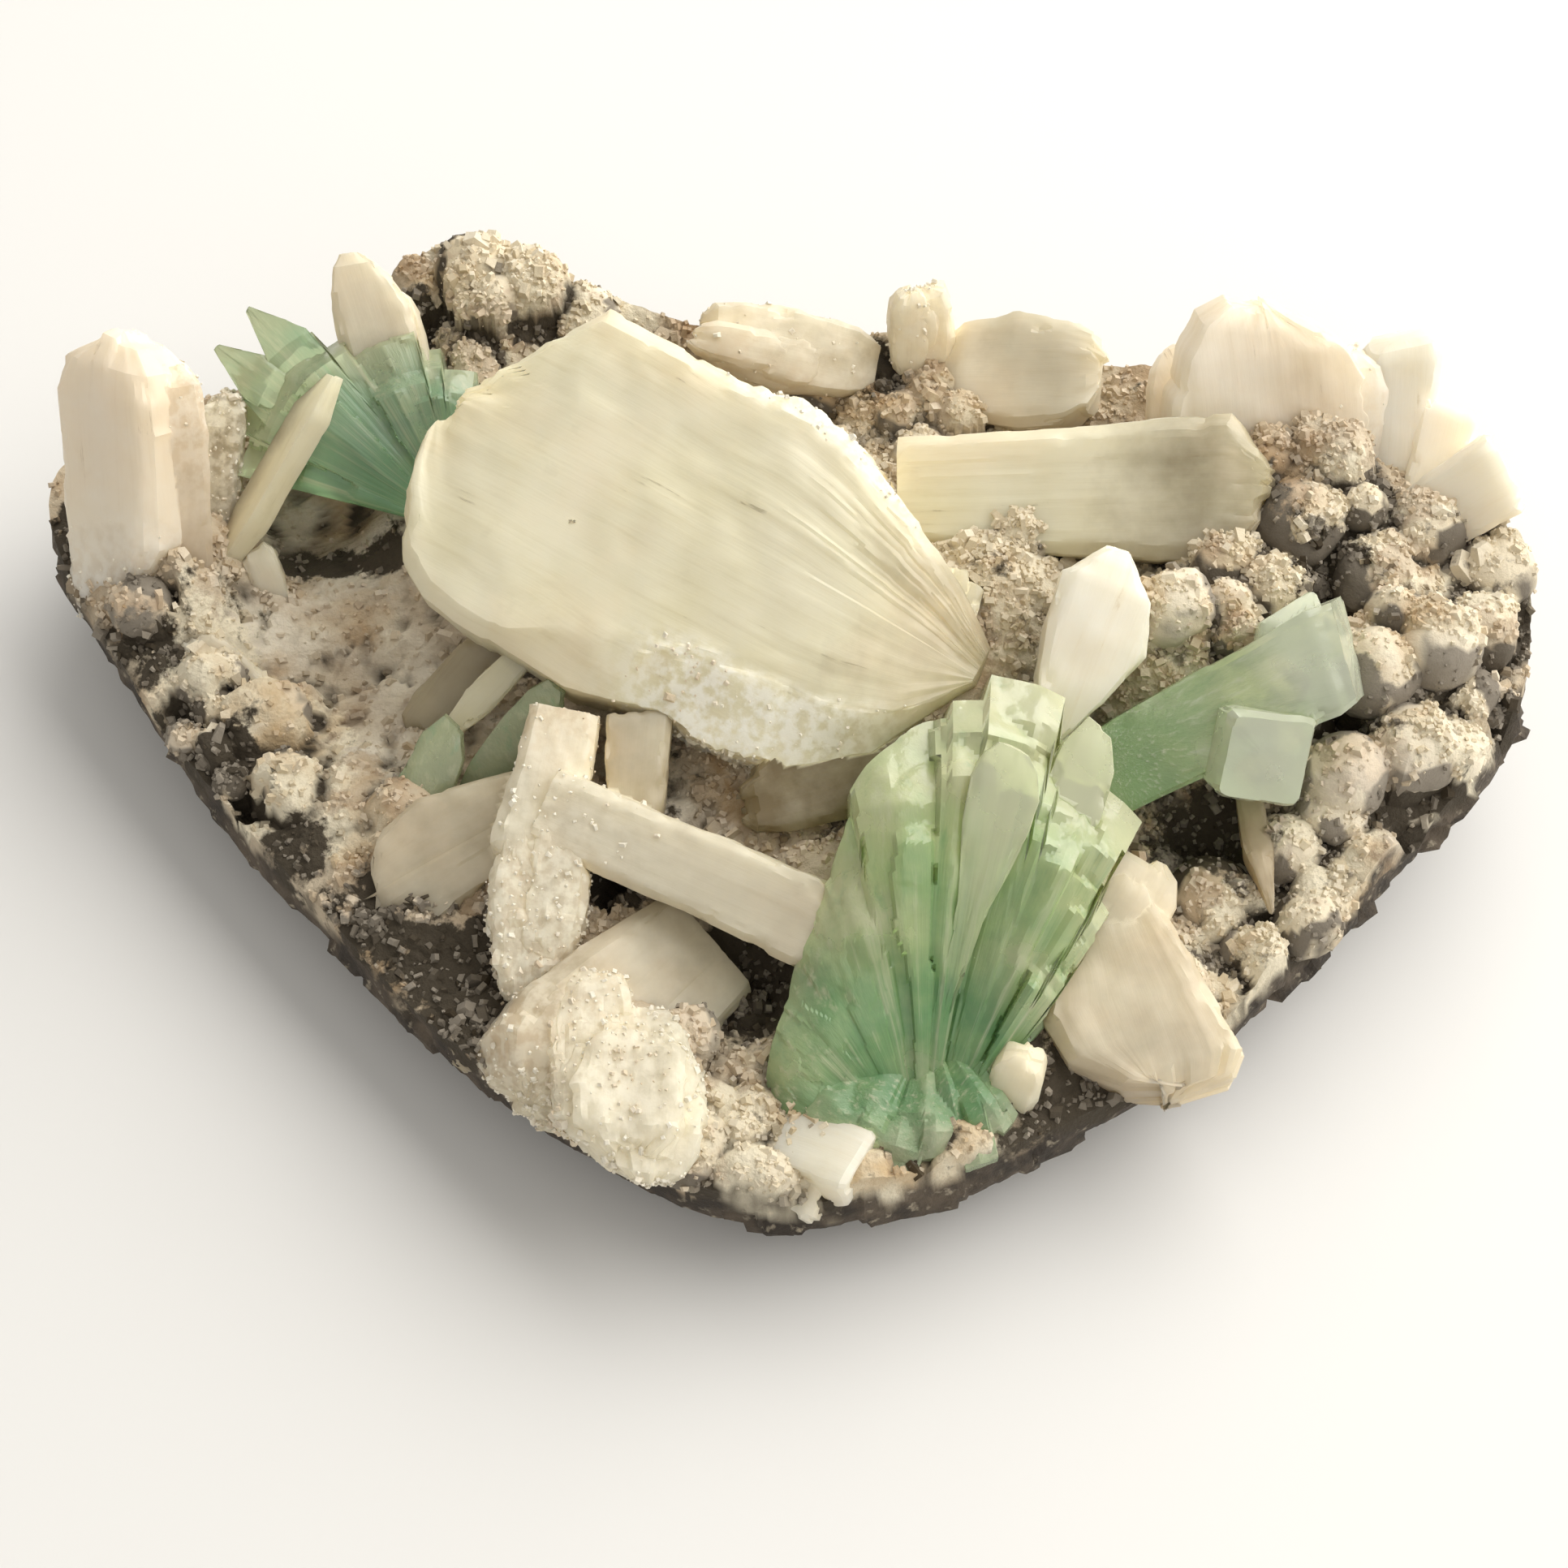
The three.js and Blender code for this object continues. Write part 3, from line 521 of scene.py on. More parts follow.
# ---------------------------------------------------------------- the stilbite
# Stilbite grows as stacks of thin laths that open like a sheaf, so each crystal is a flat
# blade with lengthwise lines, bevelled edges and an uneven end. Some are frosted with grains.
DISPLAY_SIDE = Vector((0, -0.57, 0.82))
LEFT_CORNER, RIGHT_CORNER = 4, 5  # the corners of a section that end its top face
CLOSING_RINGS = 5  # rings that round off each end of a crystal
HABITS = {  # share of the length, half widths left and right, and thickness
    "sheaf": [[-0.03, 0.2, 0.05, 0.6], [0.06, 0.42, 0.62, 0.8], [0.17, 0.62, 0.93, 0.95],
              [0.26, 0.74, 1.02, 1], [0.33, 0.83, 1.02, 1], [0.4, 0.89, 1.01, 1], [0.54, 0.88, 1.13, 1],
              [0.66, 0.88, 1.12, 1], [0.76, 0.89, 1.09, 1], [0.81, 0.9, 1.05, 0.95], [0.87, 0.7, 0.9, 0.9],
              [0.92, 0.4, 0.6, 0.85], [0.955, 0.1, 0.25, 0.8]],
    "bar": [[0, 0.6, 0.75, 0.8], [0.3, 0.8, 0.85, 0.9], [0.88, 1, 1, 1], [1, 1.0, 0.3, 0.8]],
    "blade": [[0, 0.75, 0.75, 0.8], [0.76, 1, 1, 1], [0.92, 0.85, 0.74, 0.85], [1, 0.5, 0.3, 0.5]],
    "prism": [[0, 0.85, 0.85, 0.85], [0.5, 0.92, 0.92, 1], [0.95, 1, 1, 1], [1, 0.9, 0.85, 0.85]],
    "slant": [[0, 0.1, 0.95, 0.9], [0.28, 0.95, 1, 1], [0.8, 1, 0.97, 0.95], [0.92, 0.9, 0.7, 0.8],
              [1, 0.55, 0.2, 0.5]],
    "fan": [[0, 0.35, 0.35, 0.6], [0.35, 0.75, 0.62, 0.9], [0.62, 1.02, 0.8, 1], [0.8, 0.85, 0.95, 1],
            [0.93, 0.35, 1.0, 0.85], [1, -0.3, 0.85, 0.6]],
    "sail": [[0, 0.5, 1, 0.8], [0.3, 0.85, 1, 1], [0.6, 0.8, 0.9, 0.95], [0.8, 0.62, 0.75, 0.85],
             [0.93, 0.4, 0.55, 0.65], [1, 0.1, 0.3, 0.4]],
    "lump": [[0, 0.6, 0.6, 0.65], [0.15, 0.86, 0.84, 0.9], [0.5, 1, 1, 1], [0.8, 0.92, 0.9, 0.92],
             [0.94, 0.7, 0.72, 0.74], [1, 0.4, 0.42, 0.45]],
    "diamond": [[0, 0.05, 0.3, 0.6], [0.3, 0.62, 0.75, 0.9], [0.55, 1, 0.95, 1], [0.8, 0.75, 1, 1],
                [1, 0.05, 0.4, 0.8]],
    "knife": [[0, 0.25, 0.5, 0.6], [0.25, 0.85, 0.9, 1], [0.8, 1, 0.8, 1], [1, 0.45, 0.05, 0.5]],
    "splinter": [[0, 0.8, 0.8, 0.8], [0.5, 1, 1, 1], [1, 0.15, 0.15, 0.2]],
    "plate": [[0, 0.7, 0.6, 0.7], [0.2, 0.95, 0.9, 1], [0.6, 1, 1, 1], [0.85, 0.8, 0.95, 0.8],
              [1, 0.3, 0.6, 0.5]],
}


def lath_levels(across, count, seed):
    """Uneven steps from -1 to 1 across a crystal: count laths of random width, each at a random level."""
    rng = np.random.default_rng(seed)
    edges = np.sort(rng.uniform(-1.15, 1.15, count - 1))
    levels = rng.uniform(-1, 1, count)
    return levels[np.searchsorted(edges, across)]


def even(value):
    """A shading of a crystal that is the same value everywhere on it."""
    return lambda along, across: value + 0 * along + 0 * across


def towards(root_value, tip_value):
    """A shading that runs from one value at the root to another at the tip."""
    return lambda along, across: root_value + (tip_value - root_value) * along + 0 * across


def rooted(along, across):
    """A stain that fades out over the first third of a crystal."""
    return 0.55 - 1.6 * along + 0 * across


def section(rng, width, thickness, bevels):
    """Corners of a crystal's section, from -1 to 1 round from its underside: a box with uneven bevels."""
    bevel = bevels * rng.uniform(0.05, 0.17, (4, 2)) * min(width, thickness) / (width / 2, thickness / 2)
    (a, b), (c, d), (e, f), (g, h) = bevel
    return np.array([[0, -1], [a - 1, -1], [-1, b - 1], [-1, 1 - d], [c - 1, 1], [1 - e, 1], [1, 1 - f],
                     [1, h - 1], [1 - g, -1], [0, -1]])


def spots_round(corners, half_sizes, step):
    """Spots at even steps round a section, as the number of corners passed.

    With them come the way walked to each spot, and its way to the nearest corner, in millimetres.
    """
    sides = np.linalg.norm(np.diff(corners * half_sizes, axis=0), axis=1)
    spot = np.concatenate([k + np.linspace(0, 1, max(2, round(side / step)), endpoint=False)
                           for k, side in enumerate(sides)])[None, :]
    passed, walked = np.arange(len(corners)), np.concatenate([[0], np.cumsum(sides)])
    walk = np.interp(spot, passed, walked)
    return spot, walk, np.abs(walk - np.interp(np.round(spot), passed, walked))


def rings_along(rows, length, step):
    """Rings at even steps between the rows of a habit: each one's share of the length and its size.

    The size is 1, apart from the closing rings at both ends, where it is a quarter of a sine wave.
    """
    spans = np.diff(rows[:, 0]) * length
    share = [np.linspace(start, end, max(1, round(span / (1.8 * step))), endpoint=False)
             for start, end, span in zip(rows[:-1, 0], rows[1:, 0], spans)]
    share = np.concatenate(share + [rows[-1:, 0]])[:, None]
    closing = np.sin(np.linspace(0, 1, CLOSING_RINGS + 2)[1:-1, None] * np.pi / 2)
    size = np.vstack([closing, np.ones_like(share), closing[::-1]])
    return np.vstack([0 * closing + share[0], share, 0 * closing + share[-1]]), size


def crystal(root, tip, width, thickness, habit, seed, facing=DISPLAY_SIDE, lines=even(0.03), frost=even(0),
            stain=rooted, waves=0.22, ragged=0.7, laths=14, step=0.36, fanning=0.01, chips=0.3, terrace=0.12,
            tops=((0, 1, 1), (1, 1, 1)), uneven=0.04, bevels=1.0):
    """Points, faces, grain, frost and stain of one stilbite crystal. All sizes are millimetres.

    A section is carried from root to tip, scaled by the habit's rows and by uneven side lines. Laths of
    random level lift the broad faces and push the sides by lines, swells bend the faces by waves, chips
    break facets off the corners, and the broad faces step down by terrace near their sides. Frosted skin
    is broken into small facets. Near the tip each lath ends short by up to ragged, on a slanted plane.
    The laths open like a fan up to the share fanning, and run straight from there. tops gives the share
    of the top face's left and right half widths that is flat. lines, frost and stain are functions of
    the share along the crystal and the share across it, from -1 to 1. bevels scales the bevelled edges.
    """
    rng = np.random.default_rng(seed)
    root, tip = Vector(root), Vector(tip)
    along_way = tip - root
    length = along_way.length
    along_way.normalize()
    across_way = Vector(facing).cross(along_way).normalized()
    thick_way = along_way.cross(across_way)
    corners = section(rng, width, thickness, bevels)
    stations = np.array(HABITS[habit])
    spot, walk, from_corner = spots_round(corners, (width / 2, thickness / 2), step)
    share, shrink = rings_along(stations, length, step)
    along = share * length
    left, right, thick = (np.interp(share, stations[:, 0], stations[:, k]) for k in (1, 2, 3))
    left_line = swell(along, 0 * along, 5, seed) + lath_levels(2 * share - 1, 7, seed + 21)
    right_line = swell(along, 0 * along, 6, seed + 1) + lath_levels(2 * share - 1, 8, seed + 22)
    left, right = left * (1 + uneven * left_line), right * (1 + uneven * right_line)
    left_top, right_top = (np.interp(share, np.array(tops)[:, 0], np.array(tops)[:, k]) for k in (1, 2))
    across = np.interp(spot, np.arange(len(corners)), corners[:, 0]) + 0 * share
    across = across * (1 - np.clip(1 - np.abs(spot - RIGHT_CORNER), 0, 1) * (1 - right_top))
    across = across * (1 - np.clip(1 - np.abs(spot - LEFT_CORNER), 0, 1) * (1 - left_top))
    through = np.interp(spot, np.arange(len(corners)), corners[:, 1]) + 0 * share
    flat = np.clip(2 * np.abs(through) - 1, 0, 1) * np.sign(through)
    steep = np.clip(5 * np.abs(across) - 4, 0, 1) * np.sign(across)
    y = across * np.where(across < 0, left, right) * shrink
    opening = np.clip(1.5 - share / fanning, 0, 1)
    lane = across * opening + y * (1 - opening)
    levels = 0.65 * lath_levels(lane, laths, seed) + 0.35 * lath_levels(lane, 3 * laths, seed + 1)
    side_levels = lath_levels(through, max(4, laths // 3), seed + 2)
    skin = lines(share, across)
    frosted = np.clip(frost(share, across), 0, 1)
    grains = frosted * (0.45 * broken(along, walk, 3.2, seed + 6) + 0.3 * broken(along, walk, 1.4, seed + 8)
                        + 0.12 * pebbles(along, walk, 0.8, seed + 9))
    bend = waves * swell(along + 9 * seed, walk, 7, seed) + 0.35 * waves * swell(along, walk, 2.4, seed + 9)
    nicks = chips * np.exp(-(from_corner / 0.8) ** 2) * np.clip(
        1.8 * broken(along, 37 * np.round(spot) + 0.5 * from_corner, 2.6, seed + 12) - 0.25, 0, 1)
    rim = 0.86 + 0.1 * swell(along, walk * 0 + 3 * seed, 4, seed + 13)
    rim = rim + 0.04 * swell(along, walk, 1.2, seed + 14)
    steps = terrace * ((np.abs(lane) > rim) * 1.0 + (np.abs(lane) > rim - 0.13) * 0.6
                       + (share > 1.06 - 0.14 * rim) * 0.8)
    y = y * width / 2 + steep * (skin * side_levels + 0.5 * bend + grains) * shrink
    y = y - np.sign(across) * nicks * shrink
    z = through * thick * thickness / 2 * shrink + flat * (skin * levels + bend + grains - steps) * shrink
    z = z - np.sign(through) * nicks * shrink
    tipness = np.clip((share - 0.75) / 0.25, 0, 1)
    ends = lath_levels(lane, laths, seed + 3) + 0.6 * lath_levels(through * shrink, 5, seed + 4)
    slope = rng.uniform(-0.3, 0.3, 2)
    x = along - ragged * tipness * (0.5 + 0.5 * ends) + tipness * (slope[0] * y + slope[1] * z)
    x = x + 0.05 * thickness * (1 - shrink) * np.where(share > 0.5, 1, -1) + 0.6 * grains * tipness
    local = np.stack([x, y, z], axis=-1).reshape(-1, 3)
    points = local @ np.array(Matrix((along_way, across_way, thick_way))) + np.array(root)
    grid = np.arange(len(points)).reshape(-1, spot.shape[1])
    after = np.roll(grid, -1, axis=1)
    faces = [np.stack([grid[:-1], grid[1:], after[1:], after[:-1]], axis=-1).reshape(-1, 4),
             grid[0][None], grid[-1][None, ::-1]]
    grain = np.stack([along + 31 * seed + 0 * across, lane * width / 2, through * thickness / 2], axis=-1)
    stained = np.clip(stain(share, across), 0, 1)
    return points, faces, grain.reshape(-1, 3), (frosted + 0 * x).ravel(), (stained + 0 * x).ravel()


def lobes(root, tip, width, thickness, count, seed, **finish):
    """Rows for a lumpy crystal: a main lump and count smaller ones, shaken sideways, that bulge out of it."""
    rng = np.random.default_rng(seed)
    root, tip = np.array(root, float), np.array(tip, float)
    rows = [[tuple(root), tuple(tip), width, thickness, "lump", seed, finish]]
    for k in range(count):
        shift = rng.uniform(-0.3, 0.3, 3) * (width, width, thickness)
        start = root + (tip - root) * rng.uniform(0, 0.45) + shift
        end = root + (tip - root) * rng.uniform(0.65, 1.05) + shift * rng.uniform(0.6, 1.2)
        scale = rng.uniform(0.5, 0.75)
        rows.append([tuple(start), tuple(end), width * scale, thickness * scale, "lump", seed + 7 * k + 1,
                     finish])
    return rows


AXES = []  # root, tip and half width of each large crystal, which the crust keeps clear of
FROSTED = []  # pieces whose frosted parts carry loose grains


def grown_together(name, parts, sharp_angle):
    """One skin from closed parts that cross each other, united by Blender's boolean modifier.

    A part is its points and faces, and its grain, frost and stain.
    """
    pieces = []
    for points, faces, *marks in parts:
        pieces.append(put_mesh(name, points, faces))
        for label, values in zip(("grain", "frost", "stain"), marks):
            put_attribute(pieces[-1], label, values)
    whole = pieces[0]
    if len(pieces) > 1:
        others = bpy.data.collections.new(name)
        for part in pieces[1:]:
            others.objects.link(part)
        joint = whole.modifiers.new("join", "BOOLEAN")
        joint.operation = "UNION"
        joint.solver = "MANIFOLD"
        joint.operand_type = "COLLECTION"
        joint.collection = others
        state = bpy.context.evaluated_depsgraph_get()
        joined = bpy.data.meshes.new_from_object(whole.evaluated_get(state))
        joined.materials.clear()
        whole.modifiers.clear()
        whole.data = joined
        for part in pieces[1:]:
            bpy.data.meshes.remove(part.data)
        bpy.data.collections.remove(others)
    whole.data.polygons.foreach_set("use_smooth", np.full(len(whole.data.polygons), True))
    whole.data.set_sharp_from_angle(angle=math.radians(sharp_angle))
    return whole


def grow(name, crystals, material, slot, *nodes):
    """One piece of stilbite crystals that have grown together, standing for its nodes."""
    piece = grown_together(name, [crystal(*row[:-1], **row[-1]) for row in crystals], 30)
    piece.data.materials.append(material)
    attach(piece, "root")
    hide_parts(*nodes)
    AXES.extend((row[0], row[1], min(row[2], row[3]) / 2) for row in crystals)
    FROSTED.append(piece)


lath_group, given, made = new_group(
    "waxy laths", [("Pale", COLOR, (0.8, 0.72, 0.5)), ("Cloud", COLOR, (0.7, 0.63, 0.45)),
                   ("Streak", COLOR, (0.5, 0.4, 0.2)), ("Brown", COLOR, (0.25, 0.18, 0.1)),
                   ("Sugar", COLOR, (0.85, 0.8, 0.66)), ("Polish", VALUE, 0.3)],
    [("Color", COLOR), ("Roughness", VALUE), ("Height", VALUE)])
tree = lath_group
place = object_place(tree)
along = tree.nodes.new("ShaderNodeVectorMath")
along.operation = "MULTIPLY"
along.inputs[1].default_value = (0.07, 1.1, 1.1)
tree.links.new(attribute(tree, "grain", "Vector"), along.inputs[0])
streaks = noise(tree, along.outputs[0], 1.0, 6, 0.65)
clouds = noise(tree, place, 70, 5)
flecks = noise(tree, place, 210, 5)
color = mix_colors(tree, spread(tree, clouds, 0.38, 0.66), given["Pale"], given["Cloud"])
color = mix_colors(tree, spread(tree, flecks, 0.5, 0.75, 0, 0.35), color, given["Cloud"])
lined = calculate(tree, "MULTIPLY", spread(tree, streaks, 0.52, 0.8, 0, 0.5),
                  spread(tree, clouds, 0.4, 0.6, 0.35, 1))
color = mix_colors(tree, lined, color, given["Streak"])
dashes = calculate(tree, "MULTIPLY", spread(tree, streaks, 0.64, 0.68),
                   spread(tree, flecks, 0.56, 0.62, 0, 0.5))
color = mix_colors(tree, dashes, color, given["Brown"])
# the stain: mostly the crystals' own brown staining, and on a few crystals also painted shade on their feet
# and ends
stained = calculate(tree, "ADD", attribute(tree, "stain"), spread(tree, flecks, 0.3, 0.8, -0.3, 0.14))
color = mix_colors(tree, stained, color, given["Brown"])
blush = calculate(tree, "MULTIPLY", spread(tree, noise(tree, place, 45, 5), 0.46, 0.68), 0.34)
color = mix_colors(tree, blush, color, (0.86, 0.64, 0.42))
fine = noise(tree, place, 900, 3)
sugared = calculate(tree, "MULTIPLY", attribute(tree, "frost"), spread(tree, fine, 0.4, 0.58))
color = mix_colors(tree, sugared, color, given["Sugar"])
tree.links.new(color, made["Color"])
gloss = calculate(tree, "ADD", given["Polish"], spread(tree, flecks, 0.35, 0.7, 0, 0.2))
tree.links.new(calculate(tree, "ADD", gloss, calculate(tree, "MULTIPLY", attribute(tree, "frost"), 0.25)),
               made["Roughness"])
crust = calculate(tree, "MULTIPLY", calculate(tree, "ADD", attribute(tree, "frost"), 0.12), fine)
tree.links.new(calculate(tree, "ADD", calculate(tree, "MULTIPLY", streaks, 0.6), crust), made["Height"])


def stilbite_material(name, pale, cloud, streak, brown, sugar, polish, depth):
    """Waxy stilbite with light that sinks in by depth metres."""
    material, shader = plain_material(name, pale, polish)
    tree = material.node_tree
    finish = use_group(tree, lath_group, Pale=pale, Cloud=cloud, Streak=streak, Brown=brown, Sugar=sugar,
                       Polish=polish)
    tree.links.new(finish["Color"], shader.inputs["Base Color"])
    tree.links.new(finish["Roughness"], shader.inputs["Roughness"])
    tree.links.new(bump(tree, finish["Height"], 0.25, 0.0003), shader.inputs["Normal"])
    shader.subsurface_method = "BURLEY"
    shader.inputs["Subsurface Weight"].default_value = 0.6
    shader.inputs["Subsurface Radius"].default_value = (1.0, 0.8, 0.5)
    shader.inputs["Subsurface Scale"].default_value = depth
    return material


cream = stilbite_material("stilbite_cream", (0.77, 0.715, 0.53), (0.7, 0.64, 0.43), (0.52, 0.43, 0.22),
                          (0.17, 0.125, 0.06), (0.88, 0.85, 0.74), 0.3, 0.005)
pale = stilbite_material("stilbite_pale", (0.74, 0.68, 0.52), (0.58, 0.52, 0.39), (0.5, 0.42, 0.27),
                         (0.28, 0.22, 0.13), (0.78, 0.72, 0.57), 0.36, 0.004)
# peach and white are paler copies of the cream: partly the crystals' own paler tint, partly painted light for
# the crystals the window lights most
peach = stilbite_material("stilbite_peach", (0.86, 0.78, 0.64), (0.8, 0.68, 0.5), (0.68, 0.55, 0.38),
                          (0.36, 0.26, 0.15), (0.88, 0.83, 0.72), 0.34, 0.006)
white = stilbite_material("stilbite_white", (0.86, 0.82, 0.7), (0.8, 0.74, 0.58), (0.72, 0.62, 0.42),
                          (0.5, 0.38, 0.2), (0.92, 0.9, 0.82), 0.34, 0.006)
tan = stilbite_material("stilbite_tan", (0.44, 0.38, 0.25), (0.34, 0.28, 0.18), (0.25, 0.19, 0.11),
                        (0.1, 0.07, 0.035), (0.6, 0.54, 0.42), 0.36, 0.003)


BLADE_TOPS = [[0, 0.9, 0.75], [0.1, 0.97, 0.68], [0.26, 1, 0.6], [0.4, 1, 0.75], [0.6, 1, 0.82],
              [0.68, 1, 0.98], [1, 0.97, 0.95]]  # share of the length, and the flat shares of both halves
BLADE_FACING = (-0.1, -0.42, 0.9)
BAND_PLATES = 16
ROOT_STUBS = 16


def blade_lines(along, across):
    """Deep lines on the upper edge near the root of the large blade, and faint ones elsewhere."""
    return 0.02 + 0.4 * np.exp(-((along - 0.16) / 0.2) ** 2) * np.clip(0.15 - across, 0, 1)


def blade_frost(along, across):
    """Frost on the broken lower side of the large blade and in flecks on its upper edge."""
    lower = np.exp(-((along - 0.27) / 0.2) ** 4) * np.clip((across - 0.5) * 6, 0, 1)
    upper = 0.8 * np.exp(-((along - 0.36) / 0.2) ** 4) * np.clip((-0.85 - across) * 8, 0, 1)
    return np.maximum(lower, upper)


def blade_stain(along, across):
    """A tan root, browner on the upper side."""
    return np.clip((0.26 - along) * 4, 0, 1) * (0.4 + 0.4 * np.clip(0.2 - across, 0, 1))


def bar_stain_and_shade(along, across):
    """A brown stain that grows from the middle of the bar to its tip: partly the bar's own brown, partly
    painted shade on its end, which lies in shadow.
    """
    return np.clip(2 * along - 0.9, 0, 0.7) + 0 * across


def broken_band():
    """Thin frosted plates, one under another, where the lower side of the large blade has broken away."""
    rng = np.random.default_rng(104)
    rows = []
    for k in range(BAND_PLATES):
        start = np.array([11 - 1.5 * k, -8.5 + 0.6 * k, 18.6 + 0.2 * k]) + rng.uniform(-1.2, 1.2, 3)
        end = start + np.array([-8, 3.5, 1.5]) * rng.uniform(0.8, 1.2) + rng.uniform(-1.2, 1.2, 3)
        facing = Vector(BLADE_FACING) + Vector(rng.uniform(-0.25, 0.25, 3))
        rows.append([tuple(start), tuple(end), rng.uniform(3.5, 7), rng.uniform(0.9, 1.7), "plate", 1040 + k,
                     dict(facing=facing, frost=even(0.5), stain=even(-0.2), ragged=1.8, waves=0.35, laths=9)])
    return rows


def root_stubs():
    """Short thin prisms that spread from the root of the large blade along its upper side."""
    rng = np.random.default_rng(105)
    rows = []
    for k in range(ROOT_STUBS):
        part = (k + rng.uniform(0, 1)) / ROOT_STUBS
        start = np.array([15.5 + rng.uniform(-1, 1), 2 + 1.5 * part, 23.5])
        aim = np.array([6, 20, 32]) * (1 - part) + np.array([19, 14, 27.5]) * part
        end = start + (aim - start) * rng.uniform(0.2, 0.5)
        rows.append([tuple(start), tuple(end + rng.uniform(-0.5, 0.5, 3)), rng.uniform(1.2, 2.6),
                     rng.uniform(1.2, 2), "prism", 1060 + k,
                     dict(step=0.3, laths=4, stain=towards(0.9, 0.4), ragged=0.4)])
    return rows


grow("stilbite_big_blade", [
    [(15.5, 0.5, 22), (-32.5, 23.5, 34), 32, 11, "sheaf", 101,
     dict(facing=BLADE_FACING, lines=blade_lines, frost=blade_frost, stain=blade_stain, laths=46, step=0.36,
          waves=0.4, ragged=1.5, fanning=0.45, tops=BLADE_TOPS, uneven=0.012, terrace=0.12)],
    [(11, 20.5, 23), (44.5, 17.5, 27.5), 13.5, 9, "bar", 102,
     dict(stain=bar_stain_and_shade, lines=even(0.09), laths=44, terrace=0.1, waves=0.15, chips=0.2)],
    # partly painted shade: the lump under the large blade is stained brown all over, for its own brown and
    # for the shade under the blade
    [(12, -5, 17), (-4, -10.5, 17.5), 8, 6.5, "lump", 103, dict(stain=even(1.1), waves=0.6, ragged=2)],
    [(-18.88, 9.7, 32.3), (-18.86, 9.4, 33.05), 0.9, 0.8, "lump", 107,
     dict(step=0.2, laths=3, stain=even(2))]]
     + lobes((9.5, 18.5, 24), (-2, 29.5, 26), 5, 4.5, 7, 106, frost=even(0.9), stain=even(-0.2), waves=0.5)
     + broken_band() + root_stubs(),
     cream, "stilbite", "stilbite_sheaf")
grow("stilbite_crossed_prisms", [
    [(-20.5, -13, 20.5), (4.5, -25, 19), 7.8, 7, "prism", 111,
     dict(laths=16, frost=towards(0.6, -0.5), stain=even(0.05), lines=even(0.06))],
    [(-19.5, -4.5, 22.5), (-22, -17, 18), 7.6, 6.5, "prism", 116,
     dict(frost=even(0.5), waves=0.25, chips=0.5)],
    [(-18, -9.5, 20), (-37, -17.5, 13), 11, 5, "fan", 113,
     dict(lines=even(0.14), stain=even(0.65), ragged=1.5)],
    # partly painted shade: this prism's stain, heaviest at its root, is its own grey-brown and also the shade
    # on its face
    [(-13.5, -12.5, 17.5), (-12.8, -3.1, 21), 6, 5, "prism", 115, dict(stain=towards(1, 0.5), waves=0.05)]]
     + lobes((-21, -14, 19.5), (-22.3, -29, 13), 7, 7, 7, 117, frost=even(0.9), stain=even(-0.3), waves=0.4),
     pale, "pale_stilbite", "stilbite_cross")
grow("stilbite_front_prism", [
    [(-7.5, -22.5, 12), (-21.5, -38.5, 13), 15.5, 9, "blade", 121,
     dict(lines=even(0.08), stain=towards(0.45, 0.7), frost=towards(-0.3, 0.6), chips=0.4)]]
     + lobes((-13, -31.5, 15.5), (-13.5, -44.5, 13.5), 12.5, 8, 6, 122, frost=even(0.85), waves=0.5,
             stain=even(0.05)),
     pale, "pale_stilbite", "stilbite_front")
grow("stilbite_chip", [[(-22, -28, 9), (-29, -32.5, 10.5), 5, 4, "blade", 131, dict(stain=even(0.3))]],
     tan, "tan_stilbite", "stilbite_front_chip")
grow("stilbite_block", [
    [(-1, -40.5, 10.5), (6.8, -45, 13), 6.5, 5.5, "prism", 141,
     dict(facing=(0, -0.1, 1), lines=even(0.02), laths=8, stain=even(-0.2))],
    [(-2.5, -41, 10), (3.5, -46.8, 10.5), 5, 4, "prism", 142, dict(stain=even(0.2))],
    [(-0.5, -40, 10), (-5, -35, 13.5), 2.4, 1.6, "splinter", 143, dict(stain=even(0.3))]],
     white, "pale_stilbite", "stilbite_front_block")


def fan_lines(along, across):
    """Lines that deepen towards the tip on the right side of the front fan."""
    return 0.03 + 0.35 * np.clip(1.6 * across - 0.5, 0, 1) * along


def fan_stain(along, across):
    """An even tan, browner on the left edge of the front fan."""
    return 0.42 + 1.2 * np.clip(-0.55 - across, 0, 1) * np.clip(along - 0.3, 0, 1)


grow("stilbite_fan", [
    [(26.5, -15.5, 17), (32.4, -38.3, 12.5), 16, 8, "fan", 151,
     dict(lines=fan_lines, laths=34, ragged=0.9, fanning=2, waves=0.35, stain=fan_stain)]]
     + lobes((24.5, -27, 15), (31.5, -17.5, 19.5), 10, 4, 3, 152, stain=even(0.3), waves=0.4),
     pale, "stilbite", "stilbite_front_fan")
grow("stilbite_upright_block", [
    [(23.6, -7.5, 22), (30.5, 7.5, 30.5), 9.6, 7, "diamond", 161,
     dict(lines=even(0.03), stain=even(-0.3), chips=0.5, terrace=0.25, uneven=0.02)],
    [(23.2, -6, 21), (25, -1, 25.5), 4.5, 4, "prism", 162, dict(stain=even(-0.2), chips=0.7)]],
     white, "pale_stilbite", "stilbite_white_block")
